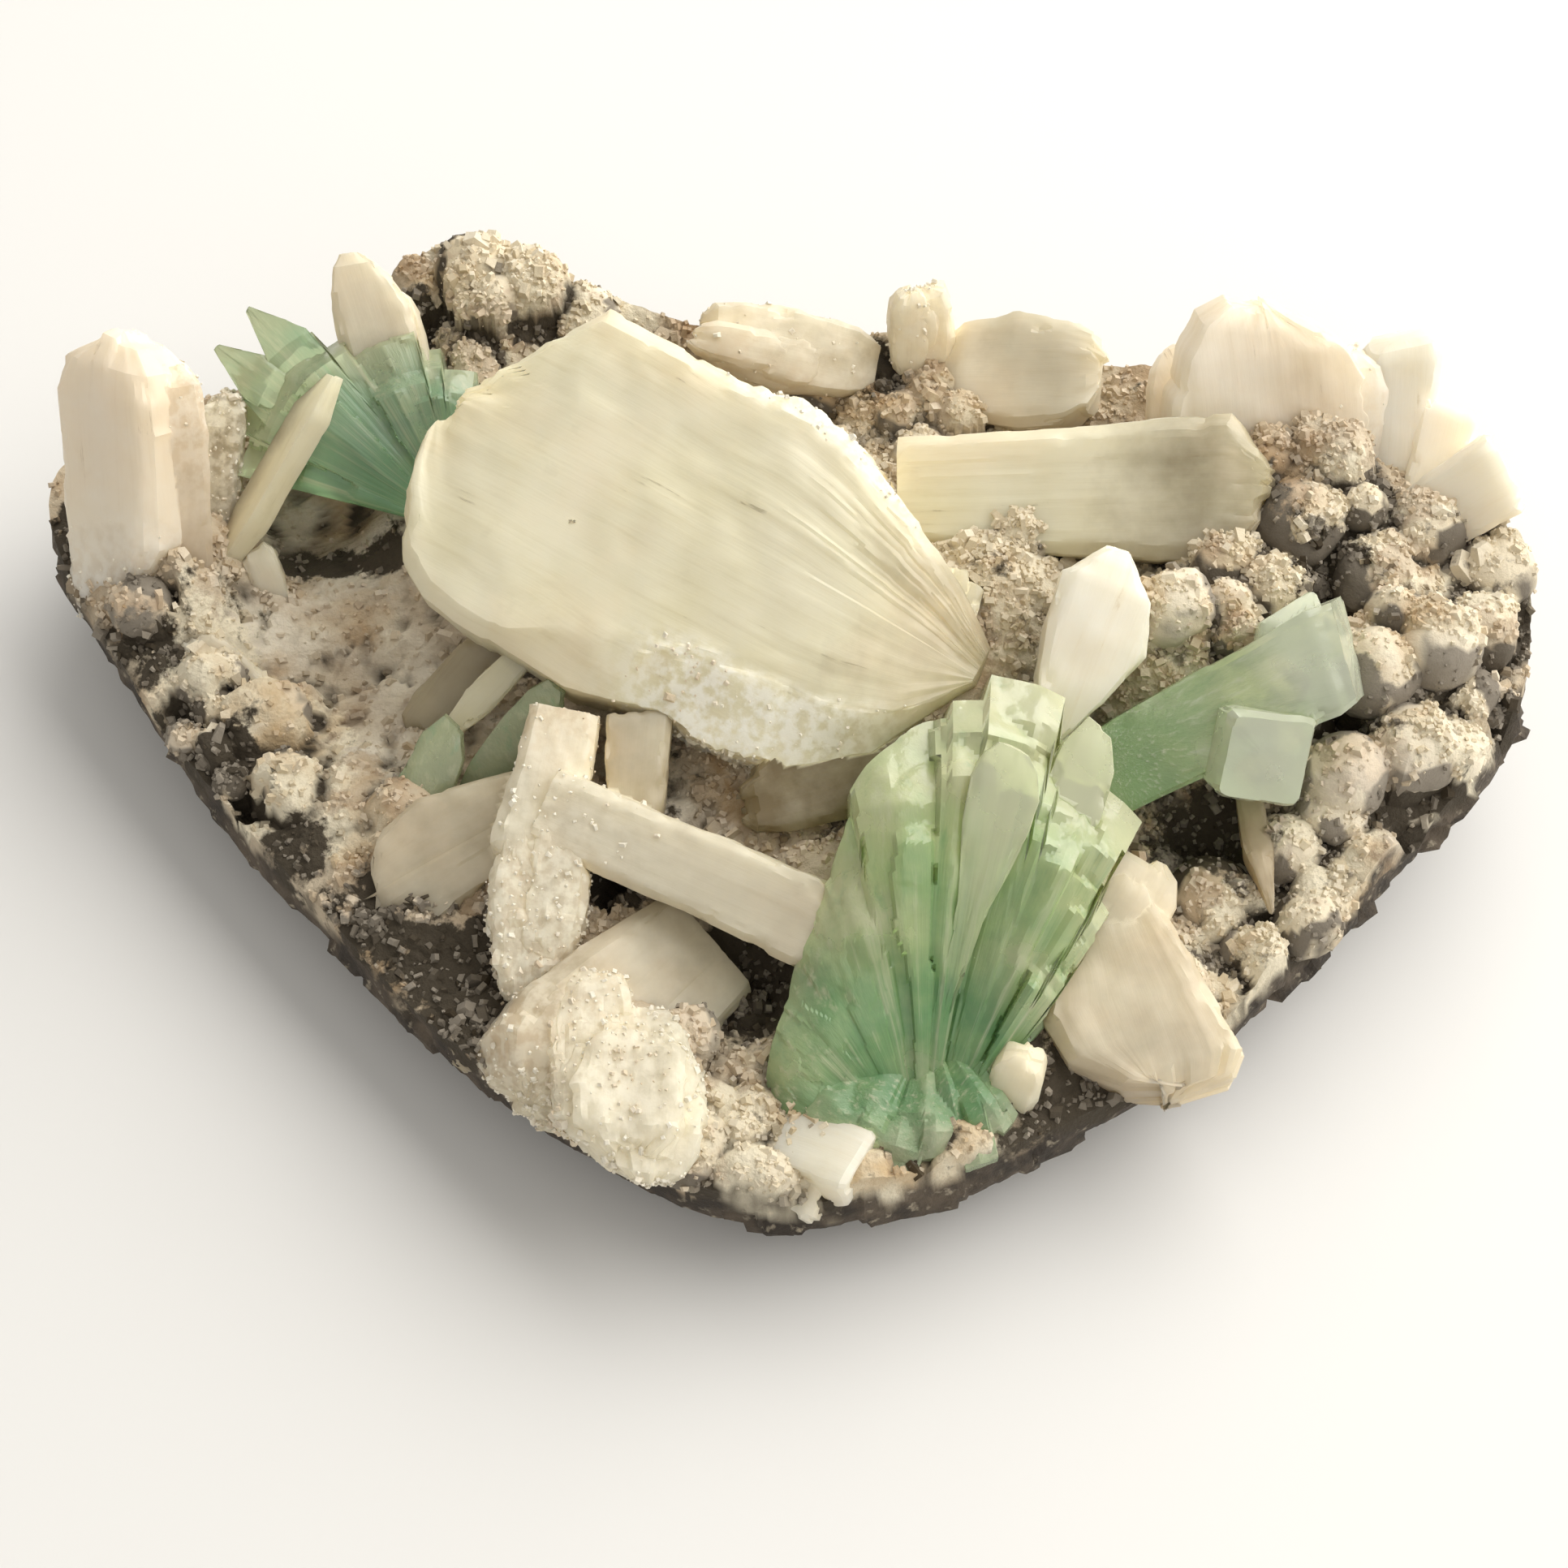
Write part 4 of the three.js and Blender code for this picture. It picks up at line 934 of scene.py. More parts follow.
# partly painted shade: the root stains of both prisms also darken their feet, which lie in shade
grow("stilbite_left_pair", [
    [(-61, 15.5, 12), (-61.4, 31.5, 33.5), 12, 9, "slant", 171,
     dict(facing=(-0.5, -0.5, 0.72), laths=9, stain=towards(0.7, -1), frost=towards(0.9, -1.2),
          terrace=0.2, chips=0.3)],
    [(-57.3, 16.5, 12), (-57.6, 30, 31), 6.5, 9.5, "blade", 172,
     dict(facing=(0.25, -0.55, 0.8), laths=5, stain=towards(0.9, 0.45), frost=towards(-0.2, 0.5))]],
     peach, "stilbite", "stilbite_left_prism")
grow("stilbite_shard", [
    [(-55, 24, 14), (-53.5, 33.5, 23), 5, 3.5, "blade", 181,
     dict(stain=even(0.75), frost=even(0.8), waves=0.4)]],
     pale, "pale_stilbite", "stilbite_left_shard")
grow("stilbite_thin_blade", [
    [(-53.5, 19.5, 14), (-42.5, 32, 27.5), 4.6, 2.4, "knife", 191,
     dict(facing=(-0.5, 0.1, 0.8), laths=4, chips=0.05, terrace=0, waves=0.1, bevels=0.3,
          stain=lambda along, across: 0.25 + 0.6 * across)]],
     cream, "stilbite", "stilbite_left_blade")
grow("stilbite_fin", [
    [(-36.5, 33.5, 20), (-41, 43.5, 32), 8.5, 4, "sail", 201, dict(stain=towards(0.6, -0.2), terrace=0.4)],
    [(-35.5, 34.5, 20), (-37, 42, 28), 5, 3, "sail", 202, dict(stain=towards(0.6, 0.1))]],
     pale, "stilbite", "stilbite_left_fin")
grow("stilbite_back_lump",
     lobes((8.5, 41, 18), (-8, 41.5, 23), 8, 8, 5, 211, stain=towards(0.5, -0.5), waves=0.5, frost=even(0.3)),
     pale, "stilbite", "stilbite_back_left")
grow("stilbite_back_pair",
     lobes((13.5, 40.5, 18), (13.3, 44, 27), 6.5, 5, 3, 221, frost=even(0.4), stain=even(0), waves=0.4)
     + lobes((16, 40, 18.5), (31, 36.5, 22.5), 11, 7.5, 5, 222, stain=towards(0.2, 0), waves=0.5),
     pale, "stilbite", "stilbite_back_middle")
grow("stilbite_back_fan", [
    [(47, 23, 19), (44.3, 34, 35), 21, 7, "sail", 231,
     dict(laths=30, stain=towards(1.4, -1.6), lines=even(0.05), frost=towards(0.3, -0.1), waves=0.4,
          step=0.34)],
    [(52, 22, 19), (51.5, 32, 31), 9, 6, "blade", 232, dict(stain=towards(0.9, -0.3), frost=even(0.3))],
    [(42, 26, 18), (37, 36, 27), 10, 5, "sail", 233, dict(stain=towards(0.7, -0.3))]],
     peach, "stilbite", "stilbite_back_right")
grow("stilbite_pale_blocks", [
    [(58, 22.5, 18), (57.8, 33, 31), 7.2, 5.5, "prism", 246,
     dict(lines=even(0.02), stain=towards(0.5, -0.6), ragged=0.2)],
    [(57, 18.5, 19), (67, 20.5, 27), 8, 6, "prism", 242, dict(lines=even(0.02), stain=towards(0.4, -0.6))],
    [(60, 20, 18), (62.5, 28.5, 26.5), 6, 5, "prism", 243, dict(stain=towards(0.4, -0.5))]],
     white, "pale_stilbite", "stilbite_right_blocks")
grow("stilbite_hollow_blade", [[(-22.5, 4, 22.5), (-33, -3, 14), 3, 1.8, "splinter", 251, dict(step=0.2)]],
     cream, "stilbite", "stilbite_cavity_blade")
grow("stilbite_hollow_slab", [[(-26, 8.5, 18.5), (-34, 1, 12), 5, 3, "blade", 252, dict(step=0.25)]],
     tan, "tan_stilbite", "stilbite_cavity_slab")
grow("stilbite_hollow_stub", [[(-47.5, 15.5, 8), (-50.5, 21, 15), 3.4, 2.8, "prism", 253, dict(step=0.2)]],
     pale, "pale_stilbite", "stilbite_cavity_stub")
grow("stilbite_hollow_flake", [[(-47, 5, 9), (-56, 10, 15), 5, 2.6, "blade", 254, dict(step=0.2)]],
     pale, "pale_stilbite", "stilbite_cavity_flake")
grow("stilbite_grey_needle", [
    [(41.5, -9, 17), (42.5, -22.5, 18), 2.8, 2.6, "splinter", 261, dict(step=0.2, stain=even(0.6))]],
     tan, "tan_stilbite", "stilbite_grey_prism")
grow("stilbite_small_blade", [[(18.6, -37.5, 10), (20.4, -36.4, 18), 4.8, 3.4, "lump", 262, dict(step=0.25)]],
     cream, "stilbite", "stilbite_small_cream")


# ---------------------------------------------------------------- the apophyllite
# Apophyllite grows as square glassy prisms with flat or pyramid ends. Here they spread from
# shared roots as green sprays, clear enough to show the lines between them.
HABITS["square"] = [[0, 0.8, 0.8, 0.8], [0.9, 1, 1, 1], [1, 0.92, 0.92, 0.92]]
HABITS["petal"] = [[0, 0.15, 0.15, 0.4], [0.5, 0.45, 0.45, 0.8], [0.75, 0.95, 0.9, 1], [0.88, 1, 1, 1],
                   [0.96, 0.75, 0.8, 0.9], [1, 0.4, 0.5, 0.7]]
HABITS["pyramid"] = [[0, 0.6, 0.6, 0.6], [0.7, 1, 1, 1], [1, 0.12, 0.14, 0.14]]


def sheaf(root, tilt, edge, spread_angle, count, half_width, seed, rough=1.0, columns=180, rows=100):
    """Points, faces and marks of a bundle of rays that spread from one root. Sizes are millimetres.

    The bundle lies round a plane through the root, which rises to the back by tilt degrees. A point of
    the plane is an angle and a share of the way to the edge, which gives a reach for each angle. Every
    ray has its own angle, its own rise off the plane up to spread_angle degrees, and its own end, where
    it slopes off. The front at a point is the highest ray there, or a swelling dome where the third
    number of edge, the share of the rays, is low. The back is a smooth bowl. The two meet at the first
    and last angle, and a wall joins them along the edge. The last mark is how pale a point is.
    """
    rng = np.random.default_rng(seed)
    edge = np.array(edge, float)
    first, last = edge[0, 0], edge[-1, 0]
    angle = np.linspace(first, last, columns)[None, :]
    reach = np.interp(angle, edge[:, 0], edge[:, 1])
    ridged = np.interp(angle, edge[:, 0], edge[:, 2])
    share = np.linspace(0.03, 1, rows)[:, None]
    ray_angle = first + (last - first) * (np.arange(count) + rng.uniform(0, 1, count)) / count
    rng.shuffle(ray_angle)
    rise = rng.uniform(-0.2, 1, count) * np.radians(spread_angle)
    full = np.interp(ray_angle, edge[:, 0], edge[:, 1])
    dome_share = np.sqrt(np.clip(1 - (rise / np.radians(1.25 * spread_angle)) ** 2, 0, 1))
    end = full * dome_share * rng.uniform(0.86, 1.03, count)
    half = half_width * rng.uniform(0.6, 1.5, count)
    outer = np.maximum(reach * 0.8, np.max(np.where(np.abs(angle - ray_angle[:, None]) < half[:, None],
                                                    end[:, None], 0), axis=0))
    outer = ridged * outer + (1 - ridged) * reach
    distance = share * outer
    front = -0.35 * distance * np.tan(np.radians(spread_angle))
    bent = 2.2 * swell(distance, 0.2 * angle, 7, seed + 3) + 0.7 * swell(distance, 0.5 * angle, 2.2, seed + 4)
    for k in range(count):
        offset = (angle + bent - ray_angle[k]) / half[k]
        roof = distance * np.radians(half[k]) * 0.8 * rough * (0.35 - np.abs(offset - rng.uniform(-0.5, 0.5)))
        slope = np.clip(distance - end[k] * rng.uniform(0.82, 0.98), 0, None) * rng.uniform(1.0, 2.6)
        top = distance * np.tan(rise[k]) + roof - slope
        front = np.where((np.abs(offset) < 1) & (top > front), top, front)
    sideways = np.clip(np.minimum((angle - first) / 12, (last - angle) / 30), 0, 1) ** 0.5
    turn = np.radians(angle)
    dome = distance * np.tan(np.radians(0.85 * spread_angle)) * (1 - 0.75 * share ** 5)
    side_x, side_y = distance * np.cos(turn), distance * np.sin(turn)
    dome = dome + share * (1.1 * swell(side_x, side_y, 5, seed) + 0.25 * broken(side_x, side_y, 2.2, seed))
    front = ridged * front + (1 - ridged) * dome
    back = -distance * np.tan(np.radians(0.8 * spread_angle)) * sideways - 0.4
    front = np.maximum(front * sideways, back + 0.5)
    crumbled = ridged * np.clip(3 * share - 1.7, 0, 1) * broken(side_x, side_y, 3, seed + 5)
    front = front + 0.6 * crumbled * sideways
    cosine, sine = math.cos(math.radians(tilt)), math.sin(math.radians(tilt))
    ways = np.array([[1, 0, 0], [0, cosine, sine], [0, -sine, cosine]])
    flat = np.stack([side_x, side_y], axis=-1)
    front_points = np.concatenate([flat, front[..., None]], axis=-1)
    back_points = np.concatenate([flat, back[..., None]], axis=-1)[:, ::-1]
    points = np.concatenate([front_points, back_points], axis=1).reshape(-1, 3) @ ways + np.array(root)
    grid = np.arange(len(points)).reshape(rows, -1)
    after = np.roll(grid, -1, axis=1)
    near, far = grid[:, :columns], grid[:, :columns - 1:-1]
    caps = [np.stack([near[k, :-1], near[k, 1:], far[k, 1:], far[k, :-1]], axis=-1) for k in (0, -1)]
    faces = [np.stack([grid[:-1], grid[1:], after[1:], after[:-1]], axis=-1).reshape(-1, 4), caps[0],
             caps[1][:, ::-1]]
    pale = np.clip(3.5 * share - 2.6, 0, 0.7) * np.clip(ridged + 0.2, 0, 1)
    return points, faces, 0 * points, 0 * points[:, 0], np.hstack([pale, pale[:, ::-1]]).ravel()


ray_group, given, made = new_group(
    "green rays", [("Root", VECTOR, (0, 0, 0)), ("Reach", VALUE, 0.03), ("Deep", COLOR, (0.3, 0.6, 0.35)),
                   ("Fresh", COLOR, (0.6, 0.8, 0.6)), ("Tip", COLOR, (0.8, 0.9, 0.6)),
                   ("Mist", COLOR, (0.93, 0.94, 0.66))],
    [("Color", COLOR), ("Roughness", VALUE), ("Height", VALUE)])
tree = ray_group
place = object_place(tree)
away = tree.nodes.new("ShaderNodeVectorMath")
away.operation = "SUBTRACT"
tree.links.new(place, away.inputs[0])
tree.links.new(given["Root"], away.inputs[1])
way = tree.nodes.new("ShaderNodeVectorMath")
way.operation = "NORMALIZE"
tree.links.new(away.outputs[0], way.inputs[0])
far = tree.nodes.new("ShaderNodeVectorMath")
far.operation = "LENGTH"
tree.links.new(away.outputs[0], far.inputs[0])
streaks = noise(tree, way.outputs[0], 16, 5, 0.62)
cloud = noise(tree, place, 130, 5)
distance = calculate(tree, "ADD", calculate(tree, "DIVIDE", far.outputs["Value"], given["Reach"]),
                     spread(tree, cloud, 0.3, 0.7, -0.25, 0.25))
color = mix_colors(tree, spread(tree, distance, 0.15, 0.6), given["Deep"], given["Fresh"])
color = mix_colors(tree, spread(tree, distance, 0.6, 1.05), color, given["Tip"])
color = mix_colors(tree, spread(tree, streaks, 0.54, 0.72, 0, 0.75), color, given["Mist"])
color = mix_colors(tree, spread(tree, streaks, 0.28, 0.44, 0.6, 0), color, given["Deep"])
color = mix_colors(tree, spread(tree, cloud, 0.6, 0.72, 0, 0.5), color, given["Mist"])
color = mix_colors(tree, attribute(tree, "stain"), color, given["Mist"])
tree.links.new(color, made["Color"])
tree.links.new(spread(tree, cloud, 0.45, 0.7, 0.08, 0.4), made["Roughness"])
rays = calculate(tree, "ADD", streaks, calculate(tree, "MULTIPLY", noise(tree, place, 500, 3), 0.3))
tree.links.new(calculate(tree, "MULTIPLY", rays, spread(tree, attribute(tree, "stain"), 0.2, 0.9, 1, 0.1)),
               made["Height"])


def green_material(name, root, reach, deep, fresh, tip, mist, clear, density):
    """Green apophyllite: see-through by the share clear, tinted in its depth, with cloudy rays from root."""
    material, shader = plain_material(name, fresh, 0.12)
    tree = material.node_tree
    rays = use_group(tree, ray_group, Root=np.array(root) * MM, Reach=reach, Deep=deep, Fresh=fresh, Tip=tip,
                     Mist=mist)
    tree.links.new(rays["Color"], shader.inputs["Base Color"])
    tree.links.new(rays["Roughness"], shader.inputs["Roughness"])
    tree.links.new(bump(tree, rays["Height"], 0.35, 0.0005), shader.inputs["Normal"])
    shader.inputs["IOR"].default_value = 1.54
    shader.inputs["Transmission Weight"].default_value = clear
    depth = tree.nodes.new("ShaderNodeVolumeAbsorption")
    depth.inputs["Color"].default_value = (0.58, 0.86, 0.38, 1)
    depth.inputs["Density"].default_value = density
    tree.links.new(depth.outputs[0], tree.nodes["Material Output"].inputs["Volume"])
    return material


def pale_end(along, across):
    """The mist at the end of the green prism, which starts two thirds of the way along it."""
    return 0.8 * np.clip(6 * along - 3.8, 0, 1) + 0 * across


FAN_ROOT = (12, -42, 9.5)
FAN_EDGE = [[46, 12, 0.9], [52, 20, 0.9], [57.6, 31, 0.9], [61, 36, 0.9], [65, 40, 0.9], [68, 38, 0.9],
            [72, 38.5, 0.8], [76.3, 41.5, 0.75], [82.4, 42.2, 0.6], [89.4, 40, 0.5], [98.5, 33.7, 0.35],
            [107.7, 25.5, 0.2], [130, 18, 0.1], [150, 15.5, 0.05], [165, 14, 0.05],
            [182, 11, 0.05]]  # reach in millimetres and share of the rays for each angle
FOOT_ROOT = (12.5, -31.5, 15)
FOOT_EDGE = [[-178, 8, 0.1], [-150, 13, 0.2], [-128, 15, 0.3], [-105, 14, 0.5], [-82, 13.5, 0.6],
             [-60, 13, 0.6], [-40, 9.5, 0.5], [-15, 5, 0.3]]  # the same for the foot of the fan
SPRAY_ROOT = (-30.5, 22.5, 15.5)
SPRAY_EDGE = [[84, 15, 0.9], [98, 19, 0.9], [112, 21, 0.9], [124, 23.5, 0.9], [136, 26, 0.9], [148, 27.5, 1],
              [156, 23, 1], [166, 15, 1]]  # the same for the left spray
GREEN_PRISM = dict(laths=5, chips=0.25, terrace=0.12, waves=0.1, uneven=0.02, ragged=0.3, lines=even(0.05),
                   stain=even(0), bevels=0.4)
PALE_PRISM = dict(GREEN_PRISM, stain=even(0.95))
OLIVE_PETAL = dict(GREEN_PRISM, stain=towards(-0.2, 1))
PALE_ENDED_PRISM = dict(GREEN_PRISM, stain=pale_end)
APOPHYLLITE = {
    "apophyllite_fan": [
        sheaf(FAN_ROOT, 32, FAN_EDGE, 22, 60, 5, 71, rough=0.7),
        sheaf(FOOT_ROOT, 11, FOOT_EDGE, 20, 22, 9, 72, columns=90, rows=50),
        crystal((12.5, -35, 16), (19.4, -16.8, 34.6), 6, 4, "petal", 73, **OLIVE_PETAL),
        crystal((20, -25, 20.5), (27.5, -11.5, 30), 5.8, 2.6, "plate", 74, **PALE_PRISM)],
    "apophyllite_prism": [
        crystal((27.5, -10, 20.5), (50, -1, 28), 9.5, 9, "square", 75, **PALE_ENDED_PRISM),
        crystal((40, -4, 20), (41.8, -12.5, 27), 8.5, 8, "square", 76, facing=(0.15, 0.82, 0.55),
                **PALE_PRISM),
        crystal((42, -7, 22), (47, 4, 29.5), 7.5, 4, "pyramid", 77, **PALE_PRISM)],
    "apophyllite_left_spray": [
        sheaf(SPRAY_ROOT, 34, SPRAY_EDGE, 17, 15, 10, 78, rough=0.35, columns=110, rows=70),
        crystal((-38, 30, 20), (-51.5, 40, 28), 5, 2, "pyramid", 79, **GREEN_PRISM),
        crystal((-40, 29, 19), (-54.3, 36.8, 26), 5, 2, "pyramid", 80, **GREEN_PRISM),
        crystal((-38, 28, 19), (-52, 33.5, 23), 4.5, 2, "pyramid", 81, **GREEN_PRISM)],
    "apophyllite_small_left": [
        crystal((-36, -12.5, 11.5), (-29.5, -3, 19), 5, 2.6, "plate", 82, **GREEN_PRISM)],
    "apophyllite_small_right": [
        crystal((-28.5, -7, 14), (-20, -1.5, 23), 4.2, 2.2, "plate", 83, **GREEN_PRISM)],
}
fan_green = green_material("apophyllite_fan", FAN_ROOT, 0.04, (0.24, 0.5, 0.22), (0.6, 0.76, 0.38),
                           (0.92, 0.9, 0.5), (0.93, 0.94, 0.66), 0.5, 34)
block_green = green_material("apophyllite_block", (28, -9, 22), 0.024, (0.4, 0.6, 0.28), (0.68, 0.8, 0.46),
                             (0.9, 0.94, 0.72), (0.96, 1, 0.8), 0.6, 20)
spray_green = green_material("apophyllite_spray", SPRAY_ROOT, 0.026, (0.3, 0.58, 0.34), (0.48, 0.68, 0.44),
                             (0.62, 0.68, 0.44), (0.93, 0.94, 0.66), 0.6, 45)
GREENS = {"apophyllite_fan": fan_green, "apophyllite_prism": block_green}
for node_name, parts in APOPHYLLITE.items():
    piece = grown_together(node_name.replace("apophyllite", "green"), parts, 25)
    piece.data.materials.append(GREENS.get(node_name, spray_green))
    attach(piece, "root")
    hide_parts(node_name)


# ---------------------------------------------------------------- the drusy crust
# Thousands of millimetre crystals of stilbite and quartz coat the rock. They grew out of it, into
# round lumps on its knobs, and into fine sugar on the frosted parts of the larger crystals.
LUMP_RINGS, LUMP_SIDES = 14, 20
BLOCK_RINGS = np.array([[-0.5, 1.0], [0.5, 0.6]])  # height and half width of a small crystal
CORNERS = 4 * len(BLOCK_RINGS)  # points of one small crystal


def small_crystals(feet, outward, sizes, stretch, rng):
    """Points and faces of small blunt four-sided crystals.

    Each is two square rings, joined and closed at both ends. It is scaled by its size and by an
    uneven stretch, turned about its axis, tipped off the outward way, and set with its foot sunk in.
    """
    count = len(feet)
    corner = np.pi / 4 + np.arange(4) * np.pi / 2
    rings = np.stack([BLOCK_RINGS[:, 1:] * np.cos(corner), BLOCK_RINGS[:, 1:] * np.sin(corner),
                      np.repeat(BLOCK_RINGS[:, :1], 4, axis=1)], axis=-1).reshape(-1, 3)
    axis = outward + rng.normal(0, 0.35, (count, 3))
    axis /= np.linalg.norm(axis, axis=1, keepdims=True)
    side = np.cross(axis, rng.normal(0, 1, (count, 3)))
    side /= np.linalg.norm(side, axis=1, keepdims=True)
    other = np.cross(axis, side)
    shape = sizes[:, None] * np.exp(rng.normal(0, 0.28, (count, 3))) * stretch
    local = rings[None] * shape[:, None, :]
    points = (feet[:, None, :] + local[..., :1] * side[:, None, :] + local[..., 1:2] * other[:, None, :]
              + (local[..., 2:] + 0.1 * shape[:, None, 2:]) * axis[:, None, :])
    grid = np.arange(CORNERS).reshape(-1, 4)
    after = np.roll(grid, -1, axis=1)
    faces = np.vstack([np.stack([grid[:-1], after[:-1], after[1:], grid[1:]], axis=-1).reshape(-1, 4),
                       grid[0][None, ::-1], grid[-1][None]])
    faces = faces[None] + (np.arange(count) * CORNERS)[:, None, None]
    return points.reshape(-1, 3), faces.reshape(-1, 4)


def ground_slope(x, y):
    """The way that the ground faces, from its rise over a millimetre along X and along Y."""
    step = 0.5
    way = np.stack([ground(x - step, y) - ground(x + step, y), ground(x, y - step) - ground(x, y + step),
                    np.full_like(x, 2 * step)], axis=-1)
    return way / np.linalg.norm(way, axis=1, keepdims=True)


def from_axes(points):
    """For each large crystal: how far each point lies from its axis, and its own half width."""
    for root, tip, half in AXES:
        root, axis = np.array(root), np.array(tip) - np.array(root)
        share = np.clip((points - root) @ axis / (axis @ axis), 0, 1)
        yield np.linalg.norm(points - root - share[:, None] * axis, axis=1), half


def clear_of_crystals(points):
    """Whether each point is further from every large crystal's axis than most of its half width."""
    return np.all([away > 0.8 * half for away, half in from_axes(points)], axis=0)


def near_crystals(points):
    """Whether each point is close round a large crystal."""
    return np.any([away < 1.5 * half + 0.8 for away, half in from_axes(points)], axis=0)


def crusted_lumps(name):
    """A piece of joined balls, one over each knob inside the rim.

    A ball is a grid of angles down from its top and round it, closed by a point at both poles. Its
    reach is the knob's radius with swells, facets and pebbles, which are read on its three planes.
    """
    fall = np.linspace(0, np.pi, LUMP_RINGS + 2)[1:-1, None]
    turn = np.arange(LUMP_SIDES) * 2 * np.pi / LUMP_SIDES
    way = np.stack([np.sin(fall) * np.cos(turn), np.sin(fall) * np.sin(turn), np.cos(fall) + 0 * turn],
                   axis=-1)
    way = np.vstack([way.reshape(-1, 3), [[0, 0, 1], [0, 0, -1]]])
    rim, _ = rim_by_angle(np.arctan2(ALL_KNOBS[:, 1], ALL_KNOBS[:, 0]))
    knobs = ALL_KNOBS[np.hypot(ALL_KNOBS[:, 0], ALL_KNOBS[:, 1]) + 1.1 * ALL_KNOBS[:, 2] < rim]
    x, y, radius, level = (knobs[:, k, None] for k in range(4))
    a, b, c = (way[None, :, k] * radius + 9 * x for k in range(3))
    bumps = sum(0.19 * swell(u, v, 3.2, 91) + 0.06 * broken(u, v, 1.6, 92)
                + 0.14 * (pebbles(u, v, 1.5, 93) - 0.6) for u, v in ((a, b), (b, c), (c, a)))
    reach = radius * 1.02 + bumps * np.minimum(radius, 2.5)
    drift_x, drift_y = drift(x, y)
    middle = np.stack([x - drift_x, y - drift_y, level], axis=-1)
    points = middle + reach[..., None] * way[None] * (1, 1, 0.92)
    grid = np.arange(LUMP_RINGS * LUMP_SIDES).reshape(LUMP_RINGS, LUMP_SIDES)
    after = np.roll(grid, -1, axis=1)
    top, bottom = (np.full(LUMP_SIDES, grid.size + k) for k in (0, 1))
    shift = (np.arange(len(knobs)) * len(way))[:, None, None]
    belts = np.stack([grid[:-1], grid[1:], after[1:], after[:-1]], axis=-1).reshape(-1, 4)
    poles = np.vstack([np.stack([top, grid[0], after[0]], axis=-1),
                       np.stack([bottom, after[-1], grid[-1]], axis=-1)])
    points = points.reshape(-1, 3)
    faces = [(block[None] + shift).reshape(-1, block.shape[1]) for block in (belts, poles)]
    piece = put_mesh(name, points, faces, 40)
    put_crust_masks(piece, points)
    put_attribute(piece, "frost", np.tile(way[:, 2] > -0.3, len(knobs)).astype(float))
    put_attribute(piece, "tone", np.repeat(chance(np.arange(len(knobs)), 3, 94), len(way)))
    return piece


def druse(name, count, size, stretch, places, seed, feet_only=False):
    """A piece of joined small crystals on the display side: in places, all over, or at large crystals.

    Their feet are random places where the rim, the patches and the large crystals leave them room.
    size is the half width of a common one in millimetres, and stretch its three proportions.
    """
    rng = np.random.default_rng(seed)
    tries = 8 * count
    x, y = rng.uniform(-73, 71, tries), rng.uniform(-49, 55, tries)
    reach, _ = rim_by_angle(np.arctan2(y, x))
    keep = np.hypot(x, y) < reach * CREST_SHARE
    if places:
        keep &= rng.uniform(0, 1, len(x)) < patches(x, y, places)
    keep &= rng.uniform(0, 1, len(x)) > 0.6 * patches(x, y, CRUST_PATCHES["grey"])
    x, y = x[keep], y[keep]
    if not feet_only:
        x, y = x[:count], y[:count]
    feet = np.stack([x, y, ground(x, y)], axis=-1)
    if feet_only:
        feet = feet[near_crystals(feet)]
    feet = feet[clear_of_crystals(feet)][:count]
    x, y = feet[:, 0], feet[:, 1]
    sizes = size * np.exp(rng.normal(0, 0.35, len(x)))
    points, faces = small_crystals(feet, ground_slope(x, y), sizes, np.array(stretch), rng)
    piece = put_mesh(name, points, [faces])
    put_crust_masks(piece, np.repeat(feet, CORNERS, axis=0))
    put_attribute(piece, "tone", np.repeat(rng.uniform(0, 1, len(x)), CORNERS))
    return piece


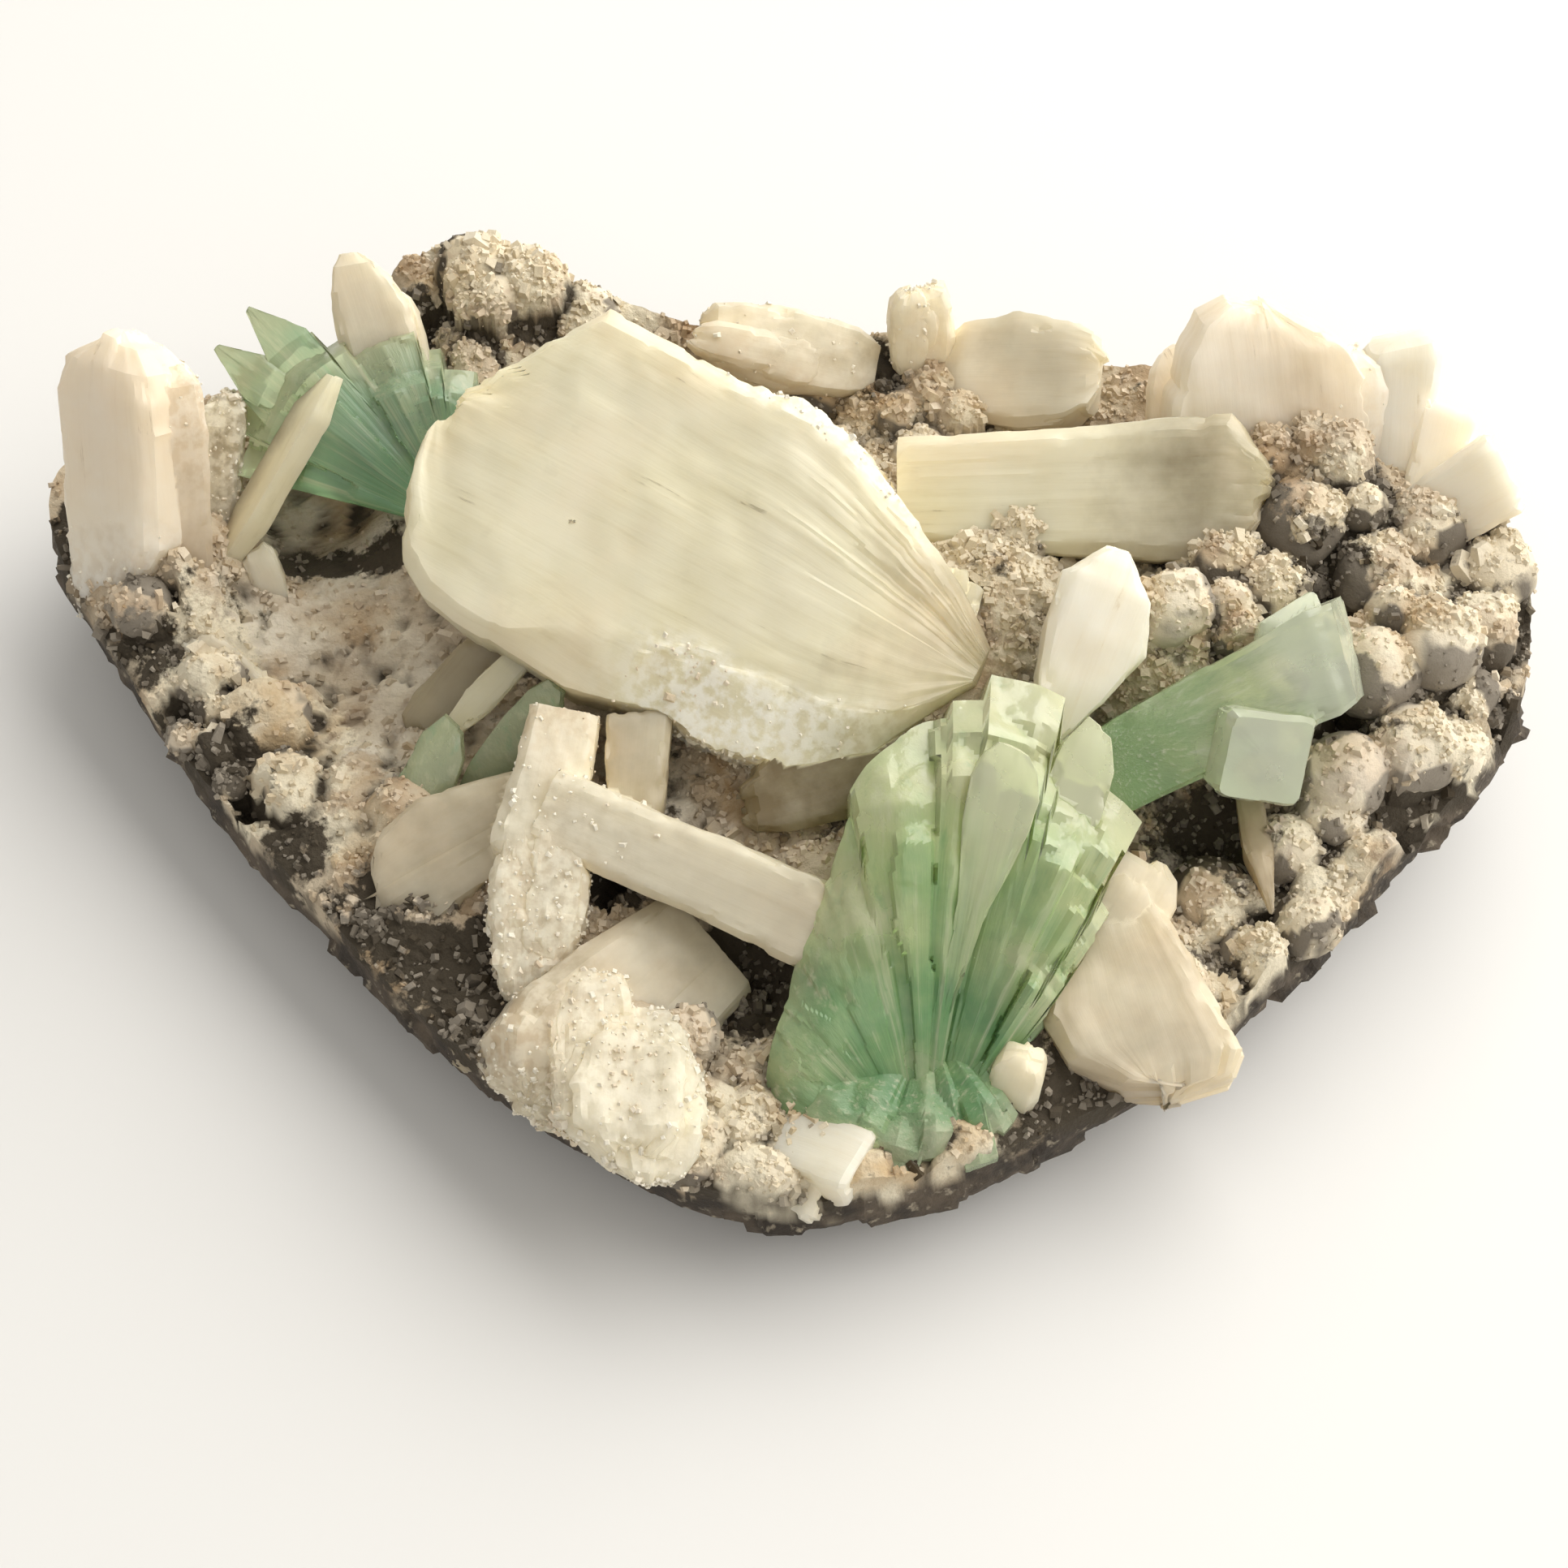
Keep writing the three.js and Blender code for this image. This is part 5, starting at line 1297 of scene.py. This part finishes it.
def sugar(name, pieces, share, size, seed, on_rock=False):
    """A piece of joined fine grains on the frosted parts of pieces.

    A point of a piece carries a grain by a chance of share times its frost squared. Grains on rock
    take the tones of the crust where they sit, and the others are cream.
    """
    rng = np.random.default_rng(seed)
    feet, outward = [], []
    for piece in pieces:
        mesh = piece.data
        places, ways = np.empty(len(mesh.vertices) * 3), np.empty(len(mesh.vertices) * 3)
        frost = np.empty(len(mesh.vertices))
        mesh.vertices.foreach_get("co", places)
        mesh.vertices.foreach_get("normal", ways)
        mesh.attributes["frost"].data.foreach_get("value", frost)
        keep = rng.uniform(0, 1, len(frost)) < share * frost ** 2
        feet.append(places.reshape(-1, 3)[keep] / MM)
        outward.append(ways.reshape(-1, 3)[keep])
    feet, outward = np.vstack(feet), np.vstack(outward)
    feet = feet + rng.normal(0, 0.1, feet.shape)
    sizes = size * np.exp(rng.normal(0, 0.4, len(feet)))
    points, faces = small_crystals(feet, outward, sizes, np.array((1, 1, 1)), rng)
    made = put_mesh(name, points, [faces])
    if on_rock:
        put_crust_masks(made, np.repeat(feet, CORNERS, axis=0))
    else:
        put_attribute(made, "cream", np.full(len(points), 1.0))
    put_attribute(made, "tone", np.repeat(rng.uniform(0.5, 1, len(feet)), CORNERS))
    return made


def grain_material(name, tan, cream, grey):
    """Rough small crystals in the crust's colours. Each is a little darker or paler by its own tone."""
    material, shader = plain_material(name, cream, 0.85)
    tree = material.node_tree
    base = use_group(tree, crust_group, Tan=tan, Cream=cream, Grey=grey)["Color"]
    darker = mix_colors(tree, 1.0, base, (0.84, 0.8, 0.74), "MULTIPLY")
    paler = mix_colors(tree, 0.3, base, (0.94, 0.84, 0.7))
    tree.links.new(mix_colors(tree, attribute(tree, "tone"), darker, paler), shader.inputs["Base Color"])
    sugary = noise(tree, object_place(tree), 1100, 5, 0.7)
    tree.links.new(bump(tree, sugary, 0.6, 0.0004), shader.inputs["Normal"])
    shader.inputs["Specular IOR Level"].default_value = 0.25
    return material


RIGHT_HILL = [[56, 2, 22], [50, 18, 16], [40, -20, 16]]  # x, y and reach
PALE_DRUSE = [[34, 2, 7], [30, 8, 11], [44, 9, 7], [20, 14, 9], [8, 26, 10], [-28, 47, 8]]
crust_material = grain_material("drusy_crust", (0.62, 0.51, 0.37), CREAM_CRUST, (0.66, 0.59, 0.48))
sugar_material = grain_material("fine_sugar", CREAM_CRUST, (0.92, 0.89, 0.78), CREAM_CRUST)

lumps = crusted_lumps("crust_lumps")
for piece in (lumps,
              druse("druse_right", 3500, 0.3, (1, 1, 1), RIGHT_HILL, 61),
              druse("druse_fine", 9000, 0.34, (1, 0.9, 1.1), None, 62),
              druse("druse_pale", 8000, 0.38, (1, 0.8, 1.3), PALE_DRUSE, 63),
              druse("druse_feet", 4500, 0.42, (1, 0.8, 1.4), None, 65, feet_only=True),
              sugar("lump_grains", [lumps], 0.4, 0.26, 66, on_rock=True)):
    piece.data.materials.append(crust_material)
    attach(piece, "root")
sugar_grains = sugar("sugar_grains", FROSTED, 0.35, 0.17, 64)
sugar_grains.data.materials.append(sugar_material)
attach(sugar_grains, "root")
